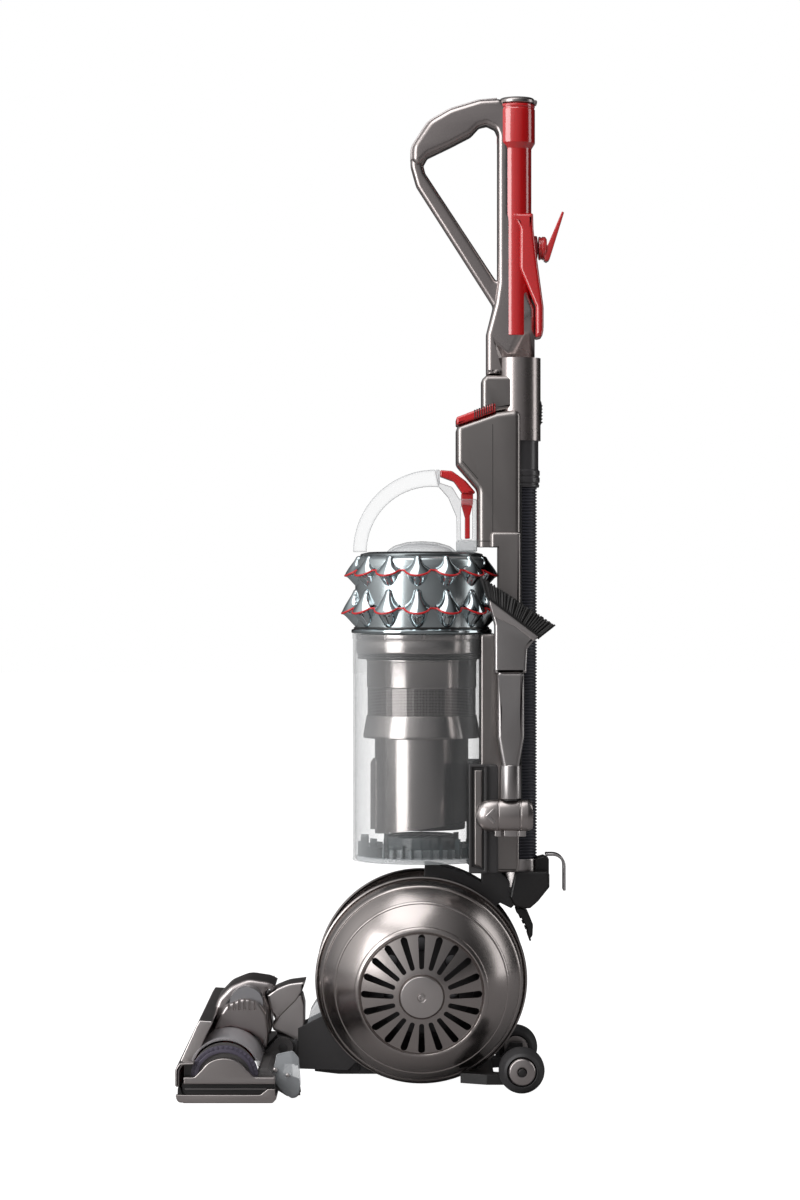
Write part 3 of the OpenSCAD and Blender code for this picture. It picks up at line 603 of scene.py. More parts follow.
window_clear = clear_plastic("window_clear", (0.62, 0.60, 0.62), least=0.34, most=0.8, rough=0.08)
pane = [(-157 + r * math.cos(math.radians(d)), 28 + r * math.sin(math.radians(d))) for r,
    angles in ((38, range(14, 160, 5)), (35.8, range(158, 12, -5))) for d in angles]
window = plate("brush_window", [pane], 303, edge=0.5, rings=1)
fitted(window, window_clear, "head", "clear", "window")

# ---- Brush bar ----
# The bar is a tube with four helical rows of stiff red bristles set in tufts, on stub axles.

red_dark = moulded("brush_red", (0.30, 0.012, 0.02), rough=0.35, bump=0.2)
bristle_red = moulded("bristle_red", (0.62, 0.045, 0.04), rough=0.5, bump=0.2)
brush_low, brush_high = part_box("brush_bar")
brush_middle = (brush_low + brush_high) / 2
across = Matrix.Translation(brush_middle) @ Matrix.Rotation(math.pi / 2, 4, "Y")
bar = turned("brush_tube", rounded([(0.01, -154.4, 0), (3.9, -154.4, 0.4), (3.9, -146, 0.5),
    (15.6, -145.5, 1), (15.6, 145.5, 1), (3.9, 146, 0.5), (3.9, 154.4, 0.4), (0.01, 154.4, 0)],
    closed=False, turn=30), across, steps=48, closed=False)
fitted(bar, red_dark, "brush", "red", "brush_bar")
tufts = bmesh.new()
random.seed(7)
for row in range(4):
    for i in range(46):
        along = (-138 + i * 6.1) * mm
        turn = row * math.pi / 2 + 0.9 * math.sin(math.pi * abs(along) / 0.3) + random.uniform(-0.03, 0.03)
        stub = bmesh.ops.create_cone(tufts, cap_ends=True, segments=6, radius1=1.5 * mm, radius2=2.2 * mm,
            depth=9.2 * mm)
        place = (Matrix.Translation(brush_middle + Vector((along, 0, 0))) @ Matrix.Rotation(turn, 4,
            "X") @ Matrix.Translation((0, 0, 18.6 * mm)))
        bmesh.ops.transform(tufts, matrix=place, verts=stub["verts"])
tufts = grown("brush_tufts", tufts)
settle(tufts, sharp=50)
fitted(tufts, bristle_red, "brush", "red")

# ---- Motor pod ----
# The brush motor's housing rises over the chamber's right half: a smooth hood with a flat end face,
# six rounded vents at its crown, and an inner hood behind in the same finish.

pod_shade = moulded("pod_nickel", (0.43, 0.395, 0.388), **satin)
face = rounded([(-180.5, 43.5, 2), (-179.6, 53, 6), (-167, 78.5, 10), (-160.6, 89.5, 14), (-141, 97.6, 20),
    (-124.2, 92, 12), (-116.4, 80, 9), (-114.9, 60, 4), (-116.4, 45.2, 2), (-118.6, 44.2, 1),
    (-123.6, 52.4, 6), (-134, 60.6, 20), (-157, 67.2, 26), (-170, 62, 20), (-177.4, 52, 8)], turn=10)
pod = plate("pod_hood", [face], 60, x=31.5, edge=3.4, rings=5)
vents = []
for i in range(6):
    slot_y, top = -157.2 + 5.65 * i, (97.6, 99.4, 101, 101, 99.6, 96.8)[i]
    vents.append(plate("vent", [rounded([(slot_y - 1.45, 84.4, 1.4), (slot_y - 1.45, top, 1.4),
        (slot_y + 1.45, top, 1.4), (slot_y + 1.45, 84.4, 1.4)], turn=30)], 14, x=61.5, edge=0.3, rings=1))
bite(pod, joined(vents, "vents"), sharp=30)
fitted(pod, pod_shade, "head", "nickel", "motor_pod")
hood = plate("pod_inner_hood", [rounded([(-176, 56, 4), (-176.4, 76, 14), (-171.5, 92, 16), (-158, 106, 20),
    (-138, 114, 22), (-116, 110.6, 10), (-108, 106.6, 0.8), (-110.5, 103.8, 0.8), (-121, 100, 14),
    (-114.5, 84, 10), (-113, 60, 3), (-114, 52, 2), (-121, 56, 4), (-140, 66, 20), (-166, 66, 8)], turn=9)],
    76, x=-11, edge=5.5, rings=5)
fitted(hood, pod_shade, "head", "nickel")
dressed("brush_motor", motor_steel)
pod_core = plate("pod_vent_backing", [rounded([(-163, 83, 3), (-160, 94, 8), (-141, 100, 16), (-126, 94, 8),
    (-124, 83, 3)], turn=15)], 38, x=25, edge=1)
fitted(pod_core, black, "head", "nickel")

# ---- Wing cover over the neck ----
# Two swept panels cover the neck and rise to a point towards the ball, with a dark fold between them.

wing = plate("wing_upper", [rounded([(-117.6, 95.8, 1.2), (-108, 103, 20), (-94, 108.6, 30),
    (-75.8, 110.8, 0.6), (-79.5, 100.4, 14), (-86, 90, 20), (-108.4, 68.6, 1.2), (-114.6, 82, 20)],
    turn=9)], 50, edge=2.6, rings=4)
fitted(wing, nickel_light, "head", "nickel", "wing_cover")
panel = plate("wing_lower", [rounded([(-112.4, 62.4, 2), (-104.6, 74, 20), (-92, 86.6, 14),
    (-83.6, 96.4, 8), (-79.6, 96, 4), (-76.8, 85, 10), (-77, 66, 16), (-78.6, 48, 3), (-85, 44.6, 3),
    (-98, 52, 20), (-111, 57.6, 3)], turn=10)], 44, edge=2.4, rings=4)
fitted(panel, nickel_light, "head", "nickel")

# ---- Neck link and rear roller legs ----
# A clear link with a red latch inside joins the wing to the duct. The two clear legs behind the head
# end in the floor rollers, each with a small white knob above it.

link_clear = clear_plastic("link_clear", (0.50, 0.52, 0.54), least=0.45, most=0.95, rough=0.06)
link = plate("neck_link", [rounded([(-79, 44, 3), (-70.5, 78, 6), (-63, 90.5, 4), (-56.6, 83, 4),
    (-56.6, 74, 3), (-62, 56, 5), (-67.4, 22, 3), (-73.6, 14, 3), (-79, 20, 3)], turn=12)], 40, edge=1.6)
fitted(link, link_clear, "chassis", "clear")
latch_red = moulded("latch_red", (0.32, 0.006, 0.008), rough=0.22, coat=0.6, bump=0.05)
latch = plate("neck_latch", [rounded([(-82, 42, 2), (-72.5, 62, 3), (-67, 67.4, 3), (-61.4, 57, 4),
    (-65.4, 36, 5), (-71, 20, 3), (-73, 38, 3)], turn=14)], 41.5, edge=1.2)
fitted(latch, latch_red, "chassis", "graphite")
legs = []
for hand in (1, -1):
    legs.append(plate("leg", [rounded([(-108, 23, 2), (-103, 48, 3), (-86, 51.6, 3), (-79.4, 44, 4),
        (-77.6, 16, 6), (-79.6, 6.4, 3), (-86, 0.8, 3), (-93, 5, 3), (-100, 12, 4)], turn=14)], 3.2,
        x=hand * 139.2, edge=0.9))
    legs.append(plate("leg", [rounded([(-106, 30, 1), (-104.6, 40, 1), (-92, 45, 1), (-88.4, 44, 1),
        (-86.6, 12, 2), (-92, 8, 2), (-101, 16, 3)], turn=20)], 2.4, x=hand * 105, edge=0.7))
fitted(joined(legs, "roller_legs"), link_clear, "head", "clear")
posts = []
for hand in (1, -1):
    for y, z, r, h in ((-104.6, 31.5, 2.6, 4.0), (-91.4, 26, 2.0, 3.0)):
        place = Matrix.Translation((hand * 0.1402, y * mm, z * mm)) @ Matrix.Rotation(hand * math.pi / 2, 4,
            "Y")
        posts.append(turned("knob", rounded([(0.01, 0, 0), (r, 0, 0.3), (r, h * 0.7, 0.8),
            (r * 0.5, h, 0.5), (0.01, h, 0)], closed=False, turn=25), place, steps=24, closed=False))
fitted(joined(posts, "leg_knobs"), nickel_light, "head", "clear")
for hand, side_name in ((1, "right"), (-1, "left")):
    low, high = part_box("roller_" + side_name)
    middle = (low + high) / 2
    middle.x = hand * 0.123
    roller_frame = Matrix.Translation(middle) @ Matrix.Rotation(math.pi / 2, 4, "Y")
    roller = turned("roller_" + side_name + "_soft", rounded([(2.4, -15, 0.3), (2.4, -8.4, 0), (5.6, -8, 1),
        (6.95, -6.6, 1.2), (6.95, 6.6, 1.2), (5.6, 8, 1), (2.4, 8.4, 0), (2.4, 15, 0.3), (1.2, 15, 0.1),
        (1.2, -15, 0.1)], turn=20), roller_frame, steps=40)
    fitted(roller, nickel_light, side_name + "_roller", "nickel_light", "roller_" + side_name)

# ---- Clear bin wall ----
# A blown-clear polycarbonate cylinder with a rolled foot and a stepped mouth. It lifts off with the
# cyclones, and two lugs at its back carry the flap.

bin_low, bin_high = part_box("bin_wall")
bin_y = (bin_low.y + bin_high.y) / 2
wall_radius = (bin_high.y - bin_low.y) / 2 / mm
foot_z, mouth_z = bin_low.z / mm, bin_high.z / mm
bin_place = Matrix.Translation((0, bin_y, 0))
bin_clear = clear_plastic("bin_clear", (0.80, 0.82, 0.83), least=0.035, most=0.62, rough=0.04)
wall = turned("bin_wall_clear", rounded([(wall_radius - 2.4, foot_z + 0.4, 0.3),
    (wall_radius, foot_z + 0.2, 1), (wall_radius, foot_z + 3, 0.4), (wall_radius - 0.7, foot_z + 4, 0.4),
    (wall_radius - 0.7, mouth_z - 6, 0.4), (wall_radius, mouth_z - 5, 0.4), (wall_radius, mouth_z, 0.6),
    (wall_radius - 2.4, mouth_z, 0.3)], turn=20), bin_place, steps=128)
fitted(wall, bin_clear, "bin", "clear", "bin_wall")
lugs = [plate("lug", [rounded([(70, 243, 1), (70, 248, 1), (77, 248, 2), (78.6, 244, 2.4),
    (76.5, 241.6, 2)], turn=20)], 4.2, x=side_x, edge=0.6) for side_x in (-11.8, 11.8)]
lugs = joined(lugs, "bin_lugs")
lugs.matrix_world = bin_place
settle(lugs)
fitted(lugs, bin_clear, "bin", "clear")

# ---- Bin flap ----
# The clear bottom drops to empty the bin: a ribbed disc on a hinge pin, with a smoked cone that
# seals the inner tube and a ring of thick ribs at its edge.

smoked = clear_plastic("smoked_clear", (0.045, 0.062, 0.068), least=0.80, most=1.0, rough=0.08)
flap_clear = clear_plastic("flap_clear", (0.62, 0.66, 0.68), least=0.30, most=0.9, rough=0.06)
disc = turned("flap_disc", rounded([(0.01, 242.4, 0), (58, 242.4, 1), (62, 241.6, 1), (71.5, 241.6, 0.8),
    (71.8, 246.4, 0.8), (69, 247.2, 0.8), (66, 246.2, 1), (50, 246.2, 1), (0.01, 246.2, 0)], closed=False,
    turn=20), bin_place, steps=96, closed=False)
fitted(disc, flap_clear, "flap", "clear", "base_flap")
seal_cone = turned("flap_seal_cone", rounded([(0.01, 246.4, 0), (44.5, 246.4, 1), (43.6, 251, 2),
    (40.4, 255, 3), (38.8, 268, 2), (35, 270, 2), (0.01, 270.5, 0)], closed=False, turn=18), bin_place,
    steps=80, closed=False)
fitted(seal_cone, smoked, "flap", "clear")
ribs = bmesh.new()
for i in range(40):
    rib = bmesh.ops.create_cube(ribs, size=1)
    turn = Matrix.Rotation(2 * math.pi * i / 40, 4, "Z")
    tall = (22, 12, 16, 12)[i % 4]
    bmesh.ops.transform(ribs, verts=rib["verts"], matrix=bin_place @ turn @ Matrix.Translation((0.0655, 0,
        (246 + tall / 2) * mm)) @ Matrix.Diagonal((0.0085, 0.0013, tall * mm, 1)))
ribs = grown("flap_ribs", ribs)
settle(ribs)
fitted(ribs, smoked, "flap", "clear")
rib_ring = turned("flap_rib_ring", rounded([(60, 246.2, 0.4), (60, 256, 0.6), (61.6, 256, 0.6),
    (61.6, 246.2, 0.4)]), bin_place, steps=80)
fitted(rib_ring, flap_clear, "flap", "clear")
pin_y, pin_z = 123.5, 243.6
pin = turned("flap_pin", rounded([(0.01, -13.8, 0), (1.5, -13.8, 0.3), (1.5, 13.8, 0.3), (0.01, 13.8, 0)],
    closed=False, turn=30), Matrix.Translation((0, pin_y * mm, pin_z * mm)) @ Matrix.Rotation(math.pi / 2,
    4, "Y"), steps=24, closed=False)
fitted(pin, motor_steel, "flap", "clear")

# ---- Collar ----
# A nickel-coloured ring joins the clear wall to the cyclones. It has a stepped rim, small locating
# ribs and a black lip seal under it, and a chrome ring closes its top.

bin_nickel = moulded("bin_nickel", (0.40, 0.375, 0.365), rough=0.2, metal=1.0, coat=0.3, bump=0.06,
    scale=3000)
chrome = moulded("cyclone_chrome", (0.50, 0.56, 0.58), rough=0.09, metal=1.0, bump=0.01, scale=900,
    shade=0.05, change=0.03)
collar = turned("collar_ring", rounded([(58, 467.4, 0.6), (70.6, 467.4, 0.8), (71.5, 469, 1),
    (71.5, 480.8, 0.5), (70.5, 481.3, 0.3), (70.5, 482.5, 0.3), (71.5, 483, 0.5), (71.8, 488.6, 0.6),
    (58, 489.4, 0.6)], turn=18), bin_place, steps=128)
fitted(collar, bin_nickel, "bin", "nickel", "bin_collar")
lip_seal = turned("collar_lip_seal", rounded([(58, 461.6, 0.5), (69, 461.6, 0.5), (70.4, 463, 0.8),
    (69.2, 464.6, 0.5), (70.6, 466, 0.6), (69.6, 467.6, 0.4), (58, 467.6, 0.4)], turn=25), bin_place,
    steps=128)
fitted(lip_seal, black, "bin", "black_rubber")
top_ring = turned("collar_top_ring", rounded([(60, 489.6, 0.5), (76, 489.6, 0.7), (76.9, 490.6, 0.7),
    (76.9, 493.2, 1), (75.4, 494.4, 0.8), (60, 494.4, 0.4)], turn=18), bin_place, steps=128)
fitted(top_ring, chrome, "bin", "chromed")
shadow_ring = turned("collar_shadow_ring", rounded([(60, 494.4, 0.3), (74.4, 494.4, 0.4),
    (74.0, 496.6, 0.6), (60, 496.6, 0.3)]), bin_place, steps=96)
fitted(shadow_ring, black, "bin", "black_rubber")
marks = []
for i in range(10):
    bpy.ops.mesh.primitive_cube_add(size=1, location=(0.0716 * math.cos(0.63 * i + 0.03),
        bin_y + 0.0716 * math.sin(0.63 * i + 0.03), 0.4858))
    mark = bpy.context.object
    mark.scale = (0.0016, 0.0012, 0.0052)
    mark.rotation_euler.z = 0.63 * i + 0.03
    marks.append(mark)
marks = joined(marks, "collar_marks")
settle(marks)
fitted(marks, nickel_light, "bin", "nickel")

# ---- Shroud ----
# The shroud hangs from the collar: a plain band, a perforated band in flat facets that holds back
# coarse dust, and a skirt flared out below it.

band = turned("shroud_band", rounded([(56, 430.2, 0.4), (59.6, 430.2, 0.6), (59.9, 431.4, 0.6),
    (59.9, 458.6, 0.4), (60.6, 459.4, 0.4), (60.6, 461.4, 0.4), (56, 461.4, 0.4)], turn=25), bin_place,
    steps=128)
fitted(band, bin_nickel, "bin", "nickel", "shroud")
skirt = turned("shroud_skirt", rounded([(56, 400.4, 0.4), (60.0, 400.4, 0.8), (60.6, 397.4, 2),
    (63.9, 378.6, 1.5), (64.0, 375.6, 0.8), (62.4, 375.4, 0.6), (60.8, 381, 2), (57, 396, 2)], turn=18),
    bin_place, steps=128)
fitted(skirt, bin_nickel, "bin", "nickel")
mesh_band = turned("shroud_mesh", [(56.5, 400.2), (59.2, 400.2), (59.2, 430.4), (56.5, 430.4)], bin_place,
    steps=44, sharp=2)
layer = mesh_band.data.uv_layers.new(name="around")
for face in mesh_band.data.polygons:
    middle_turn = math.atan2(face.center.y - bin_y, face.center.x)
    for corner in face.loop_indices:
        point = mesh_band.data.vertices[mesh_band.data.loops[corner].vertex_index].co
        turn = math.atan2(point.y - bin_y, point.x)
        turn += 2 * math.pi * round((middle_turn - turn) / (2 * math.pi))
        layer.data[corner].uv = (turn * 59.2, point.z / mm)
# The holes are not cut through the band: near-black dots are painted on it, painted shade for the dark seen
# through each hole.
perforated = moulded("shroud_perforated", (0.28, 0.262, 0.255), rough=0.3, metal=0.95, bump=0.1)
tree = perforated.node_tree
around = tree.nodes.new("ShaderNodeTexCoord")
holes = tree.nodes.new("ShaderNodeTexVoronoi")
holes.voronoi_dimensions = "2D"
holes.inputs["Scale"].default_value = 0.62
holes.inputs["Randomness"].default_value = 0.0
edge = tree.nodes.new("ShaderNodeMapRange")
edge.inputs["From Min"].default_value = 0.24
edge.inputs["From Max"].default_value = 0.34
tone = tree.nodes.new("ShaderNodeMix")
tone.data_type, tone.blend_type = "RGBA", "MIX"
tone.inputs["A"].default_value = (0.012, 0.011, 0.011, 1)
tree.links.new(around.outputs["UV"], holes.inputs["Vector"])
tree.links.new(holes.outputs["Distance"], edge.inputs["Value"])
tree.links.new(edge.outputs["Result"], tone.inputs["Factor"])
skin = next(n for n in tree.nodes if n.type == "GROUP")
tree.links.new(skin.outputs["Color"], tone.inputs["B"])
tree.links.new(tone.outputs["Result"], tree.nodes["Principled BSDF"].inputs["Base Color"])
fitted(mesh_band, perforated, "bin", "nickel")

# ---- Inner tube ----
# The bright tube down the bin's middle gathers the fine dust. Its lower end is cut on a slant, and a
# thin fin on its front stops the dust from swirling.

tube = turned("inner_tube", rounded([(48.6, 262, 0.3), (51.2, 262, 0.4), (51.2, 462, 0.4),
    (48.6, 462, 0.3)]), bin_place, steps=128)
slant = plate("slant", [[(-60, 255), (-60, 263), (150, 291.5), (150, 255)]], 200, edge=0.1, rings=0)
bite(tube, slant)
fitted(tube, bin_nickel, "bin", "nickel_light", "inner_cylinder")
core = turned("inner_tube_core", rounded([(0.01, 276, 0), (47.6, 276, 1), (47.6, 459, 1), (0.01, 459, 0)],
    closed=False), bin_place, steps=64, closed=False)
fitted(core, black, "bin", "black_rubber")
fin = plate("inner_tube_fin", [rounded([(-5.5, 275, 1), (-5.5, 348, 2), (-2.6, 353, 1), (1, 353, 1),
    (1, 275, 0.5)], turn=20)], 2.2, edge=0.4)
fitted(fin, bin_nickel, "bin", "nickel_light")

# ---- Cyclone body ----
# The pale silver housing that the small cyclones plug into, with a rounded shoulder and a darker
# ring of seals on top.

silver = moulded("pale_silver", (0.54, 0.595, 0.61), rough=0.24, metal=0.9, bump=0.05, scale=2600,
    shade=0.06)
housing = turned("cyclone_housing", rounded([(60, 495.2, 0.3), (72.8, 495.2, 0.5), (72.8, 563, 1),
    (71.6, 570.2, 5), (66.8, 573.6, 1), (60, 573.6, 1)], turn=12), bin_place, steps=128)
fitted(housing, silver, "bin", "pale_silver", "cyclone_body")
crown_dark = moulded("crown_dark", (0.16, 0.175, 0.18), rough=0.25, metal=0.85, bump=0.05)
crown = turned("cyclone_crown", rounded([(37.9, 574, 0.4), (67.4, 573.4, 0.6), (66.8, 576.4, 1.5),
    (58, 578.4, 3), (46, 578.6, 1), (44, 577.2, 0.8), (37.9, 577.2, 0.6)], turn=15), bin_place, steps=128)
fitted(crown, crown_dark, "bin", "pale_silver")

# ---- Cyclones ----
# Two tiers of fourteen small cyclones, each a tapered foot that leans in under a bell-shaped dome,
# vacuum-chromed. Seven shorter domes stand behind the upper tier, in every other gap.

cone_radius, cone_lean = 13.6, math.radians(29)
pitch, first_turn = 2 * math.pi / 14, math.radians(-3.8)


def leaning_rings(rings, turn, sides=28):
    """A closed skin through tilted rings, each (distance out, height, radius, tilt), set at a turn."""
    skin_mesh = bmesh.new()
    around_bin = bin_place @ Matrix.Rotation(turn, 4, "Z")
    loops = []
    for out, up, radius, tilt in rings:
        ring_place = around_bin @ Matrix.Translation((out * mm, 0, up * mm)) @ Matrix.Rotation(tilt, 4, "Y")
        angles = [2 * math.pi * k / sides for k in range(sides)]
        around = [Vector((radius * mm * math.cos(a), radius * mm * math.sin(a), 0)) for a in angles]
        loops.append([skin_mesh.verts.new(ring_place @ point) for point in around])
    for lower, upper in zip(loops, loops[1:]):
        for k in range(sides):
            skin_mesh.faces.new((lower[k], lower[(k + 1) % sides], upper[(k + 1) % sides], upper[k]))
    skin_mesh.faces.new(loops[0][::-1])
    skin_mesh.faces.new(loops[-1])
    piece = grown("cyclone", skin_mesh)
    return piece


def foot_rings(ring_radius, seal_z, length):
    """A foot from its tip up to the flange under the seal, along an axis that leans out."""
    rings = []
    for step in range(8):
        h = -length * (1 - step / 7) - 0.9
        radius = cone_radius - 0.25 * (-h - 0.9) - 0.9 * (1 - math.exp(h + 0.9))
        rings.append((ring_radius + h * math.sin(cone_lean), seal_z + h * math.cos(cone_lean), radius,
            cone_lean))
    rings[-1] = rings[-1][:2] + (cone_radius, cone_lean)
    return rings


def dome_rings(base_out, base_up, base_radius, top_out, top_up, neck, tilt):
    """A bell from a slanted flange to a small round top."""
    rings = [(base_out, base_up, base_radius, tilt)]
    for step in range(1, 12):
        t = step / 12
        radius = neck + (base_radius - neck) * (1 - t) ** 1.9
        rings.append((base_out + (top_out - base_out) * t, base_up + (top_up - base_up) * t, radius,
            tilt * (1 - t) - 0.42 * t))
    for turn, share in ((0.35, 0.94), (0.75, 0.72), (1.15, 0.40), (1.45, 0.12)):
        lift = neck * math.sin(turn)
        rings.append((top_out - 0.40 * (lift - neck * 0.2), top_up - neck * 0.1 + lift * 0.85, neck * share,
            -0.42))
    return rings


tiers = (("upper", 72.5, 559, 17, 68.6, 570.4, 4.5), ("lower", 76, 518, 23, 71.2, 534.0, 4.8))
for tier, ring_radius, seal_z, foot_length, top_out, top_up, neck in tiers:
    cones = []
    for i in range(14):
        turn = first_turn + i * pitch
        cones.append(leaning_rings(foot_rings(ring_radius, seal_z, foot_length), turn))
        start_out, start_up = ring_radius + 0.9 * math.sin(cone_lean), seal_z + 0.9 * math.cos(cone_lean)
        cones.append(leaning_rings(dome_rings(start_out, start_up, cone_radius, top_out, top_up, neck,
            cone_lean), turn))
        if tier == "upper" and i % 2 == 1:
            cones.append(leaning_rings(dome_rings(60, 560, 8, 60, 570.5, 3.9, 0.0), turn - 0.5 * pitch,
                sides=20))
    cones = joined(cones, tier + "_cyclone_cones")
    settle(cones, sharp=40)
    fitted(cones, chrome, "bin", "chromed", tier + "_cyclones")

# ---- Cyclone seals ----
# A soft red gasket runs round each tier between feet and domes, scalloped to follow every flange.

seal_red = moulded("seal_red", (0.62, 0.012, 0.016), rough=0.32, coat=0.5, bump=0.1)
seals = []
for tier, ring_radius, seal_z, *_ in tiers:
    path = []
    for i in range(14):
        for step in range(-6, 7):
            swing = math.radians(13.6 * step)
            out = cone_radius * math.cos(swing) + 0.15
            local = Vector(((ring_radius + out * math.cos(cone_lean)) * mm,
                (cone_radius + 0.3) * math.sin(swing) * mm, (seal_z - out * math.sin(cone_lean)) * mm))
            path.append(bin_place @ Matrix.Rotation(first_turn + i * pitch, 4, "Z") @ local)
    curve = bpy.data.curves.new("seal", "CURVE")
    curve.dimensions, curve.bevel_depth, curve.bevel_resolution = "3D", 1.15 * mm, 2
    spline = curve.splines.new("POLY")
    spline.points.add(len(path) - 1)
    for point, place in zip(spline.points, path):
        point.co = (*place, 1)
    spline.use_cyclic_u = True
    seal = bpy.data.objects.new("seal", curve)
    bpy.context.collection.objects.link(seal)
    bpy.ops.object.select_all(action="DESELECT")
    bpy.context.view_layer.objects.active = seal
    seal.select_set(True)
    bpy.ops.object.convert(target="MESH")
    seals.append(bpy.context.object)
seals = joined(seals, "cyclone_seal_rings")
settle(seals, sharp=60)
fitted(seals, seal_red, "bin", "red", "cyclone_seals")

# ---- Carrying arch and dome ----
# A clear arch over the cyclones carries the bin. It springs from the crown in front and ends behind
# in a hollow post, which the red release runs down through, and a low clear dome fills its foot.

arch_clear = clear_plastic("arch_clear", (0.74, 0.76, 0.78), least=0.06, most=0.78, rough=0.05)
rear_clear = clear_plastic("post_clear", (0.66, 0.68, 0.70), least=0.22, most=0.85, rough=0.06)


def arc_points(middle, radius, first, last, steps):
    """Points of an arc in the (Y, Z) plane, in degrees."""
    angles = [math.radians(first + (last - first) * k / steps) for k in range(steps + 1)]
    return [(middle[0] + radius * math.cos(a), middle[1] + radius * math.sin(a)) for a in angles]


arch = plate("carry_arch", [arc_points((65.4, 578.7), 89.6, 180, 90, 26) + arc_points((62, 578.7), 71.6, 84,
    180, 24)], 25, edge=3.6, rings=5)
fitted(arch, arch_clear, "bin", "clear", "carry_handle")
rear_post = plate("carry_post", [rounded([(66, 668.4, 1), (70.4, 668.2, 1), (70.4, 654, 2), (84, 649.5, 4),
    (92, 636.4, 2), (111, 636.4, 2), (111, 579, 1), (89.4, 579, 1), (89.0, 617, 8), (80, 638, 6),
    (69.5, 650, 4)], turn=15), rounded([(93.5, 592, 2), (93.5, 630, 3), (106.4, 630, 3), (106.4, 592, 2)],
    turn=30)], 24, edge=1.6, rings=3)
fitted(rear_post, rear_clear, "bin", "clear")
foot_block = plate("carry_post_foot", [rounded([(88.6, 579, 1), (88.6, 591, 2), (111.2, 591, 2),
    (111.2, 579, 1)], turn=20)], 26.5, edge=1.4)
fitted(foot_block, flap_clear, "bin", "clear")
low_dome = turned("crown_dome", rounded([(0.01, 588.2, 0), (16, 586.8, 20), (30, 582.4, 12),
    (36.6, 577.4, 1), (37.8, 577.4, 0.3), (37.2, 580, 1), (30.6, 585.2, 12), (16, 589.4, 20),
    (0.01, 590.4, 0)], closed=False, turn=10), bin_place, steps=80, closed=False)
fitted(low_dome, arch_clear, "bin", "clear")

# ---- Bin release ----
# The red thumb cap on top of the post pushes a stem down through it to the latch below.

gloss_red = moulded("gloss_red", (0.60, 0.008, 0.010), rough=0.2, coat=1.0, coat_rough=0.05, bump=0.02,
    shade=0.06)
thumb = plate("release_cap", [rounded([(71, 660.8, 1), (71, 668, 1.4), (84, 667, 6), (99, 656, 8),
    (110.6, 642.4, 1.4), (95, 642.4, 1.2), (86, 655.4, 5)], turn=12)], 23, edge=2.2, rings=4)
fitted(thumb, gloss_red, "trigger", "red", "bin_trigger")
stem = plate("release_stem", [rounded([(94, 642.6, 1), (107, 642.6, 1), (107, 632, 2), (103.5, 618, 3),
    (103.5, 593, 1), (98, 593, 1), (98, 616, 3), (94, 630, 2)], turn=18)], 11.5, edge=1.0)
fitted(stem, gloss_red, "trigger", "red")

# ---- Spine ----
# The backbone of the body, satin nickel-coloured: a head whose nose leans over the bin's arch, a waist
# behind the cyclones and a cradle round the bin, whose concave face is given dark graphite as painted
# shade. The bin and the hose lie in grooves cut along it.


def upright_rod(radius, y, low_z, high_z, steps=96):
    """A plain cutter for a round groove."""
    return turned("groove", [(0.01, low_z), (radius, low_z), (radius, high_z), (0.01, high_z)],
        Matrix.Translation((0, y * mm, 0)), steps=steps, closed=False)


hose_low, hose_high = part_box("hose")
hose_y = (hose_low.y + hose_high.y) / 2 / mm
spine_shade = moulded("spine_nickel", (0.335, 0.31, 0.30), **satin)
spine_parts = (("spine_head", [(111.6, 562, 7), (111.6, 646, 10), (88.2, 673.4, 8), (88.2, 715, 7),
    (131, 730, 8), (158, 733.6, 7), (158, 562, 7)], 60, 6.5), ("spine_waist",
    [(125, 476, 4), (158, 476, 2), (158, 600, 2), (125, 600, 4)], 71.6, 4),
    ("spine_back", [(113.6, 231.4, 3), (113.6, 489.6, 3), (136, 489.6, 10), (155.8, 268, 12),
    (155.8, 231.4, 2)], 95.6, 3.5), ("spine_cradle", [(101.4, 231.4, 2), (101.4, 348.6, 4),
    (132.8, 348.6, 4), (132.8, 231.4, 2)], 123.6, 2.2))
for name, corners, width, edge in spine_parts:
    part = plate(name, [rounded(corners, turn=12)], width, edge=edge, rings=5)
    bite(part, upright_rod(wall_radius + 3.5, bin_y / mm, 200, 483))
    if name in ("spine_head", "spine_waist", "spine_back"):
        bite(part, upright_rod(91, bin_y / mm, 483.2, 584))
        bite(part, upright_rod(20.5, hose_y, 200, 660))
        bite(part, upright_rod(23.5, hose_y, 655, 800))
    # The cradle gets dark graphite rather than the spine's satin nickel: painted shade on the concave face
    # that wraps round the bin.
    fitted(part, graphite if name == "spine_cradle" else spine_shade, "upright", "nickel",
        *(["spine"] if name == "spine_head" else []))
seam = moulded("seam_shadow", (0.03, 0.028, 0.028), rough=0.5)
for hand, side_name in ((1, "right"), (-1, "left")):
    # A thin shut line divides the head's side panel, and a black strip shades the hose groove
    lines = [plate("seam", [rounded([(127.4, 590, 0.2), (127.4, 717, 0.2), (128.1, 717, 0.2),
        (128.1, 590, 0.2)])], 0.7, x=hand * 30.0, edge=0.15, rings=0),
        plate("seam", [rounded([(112.6, 589.6, 0.2), (112.6, 590.4, 0.2), (128.1, 590.4, 0.2),
        (128.1, 589.6, 0.2)])], 0.7, x=hand * 30.0, edge=0.15, rings=0),
        plate("seam", [rounded([(94.6, 676.6, 0.2), (111.4, 657.4, 0.2), (111.9, 658.0, 0.2),
        (95.1, 677.2, 0.2)])], 0.7, x=hand * 30.0, edge=0.15, rings=0)]
    fitted(joined(lines, "spine_seams_" + side_name), seam, "upright", "nickel")
    strip = plate("spine_black_strip_" + side_name, [rounded([(154.6, 300, 0.8), (154.6, 652, 0.8),
        (159.4, 652, 1), (159.4, 300, 1)])], 9, x=hand * 21.5, edge=0.8)
    fitted(strip, black, "upright", "graphite")

# ---- Cheek panels ----
# A bevelled frame stands on each cheek of the cradle: a raised border round a sunk panel with a
# raised strip down it, clipped to the moulding.

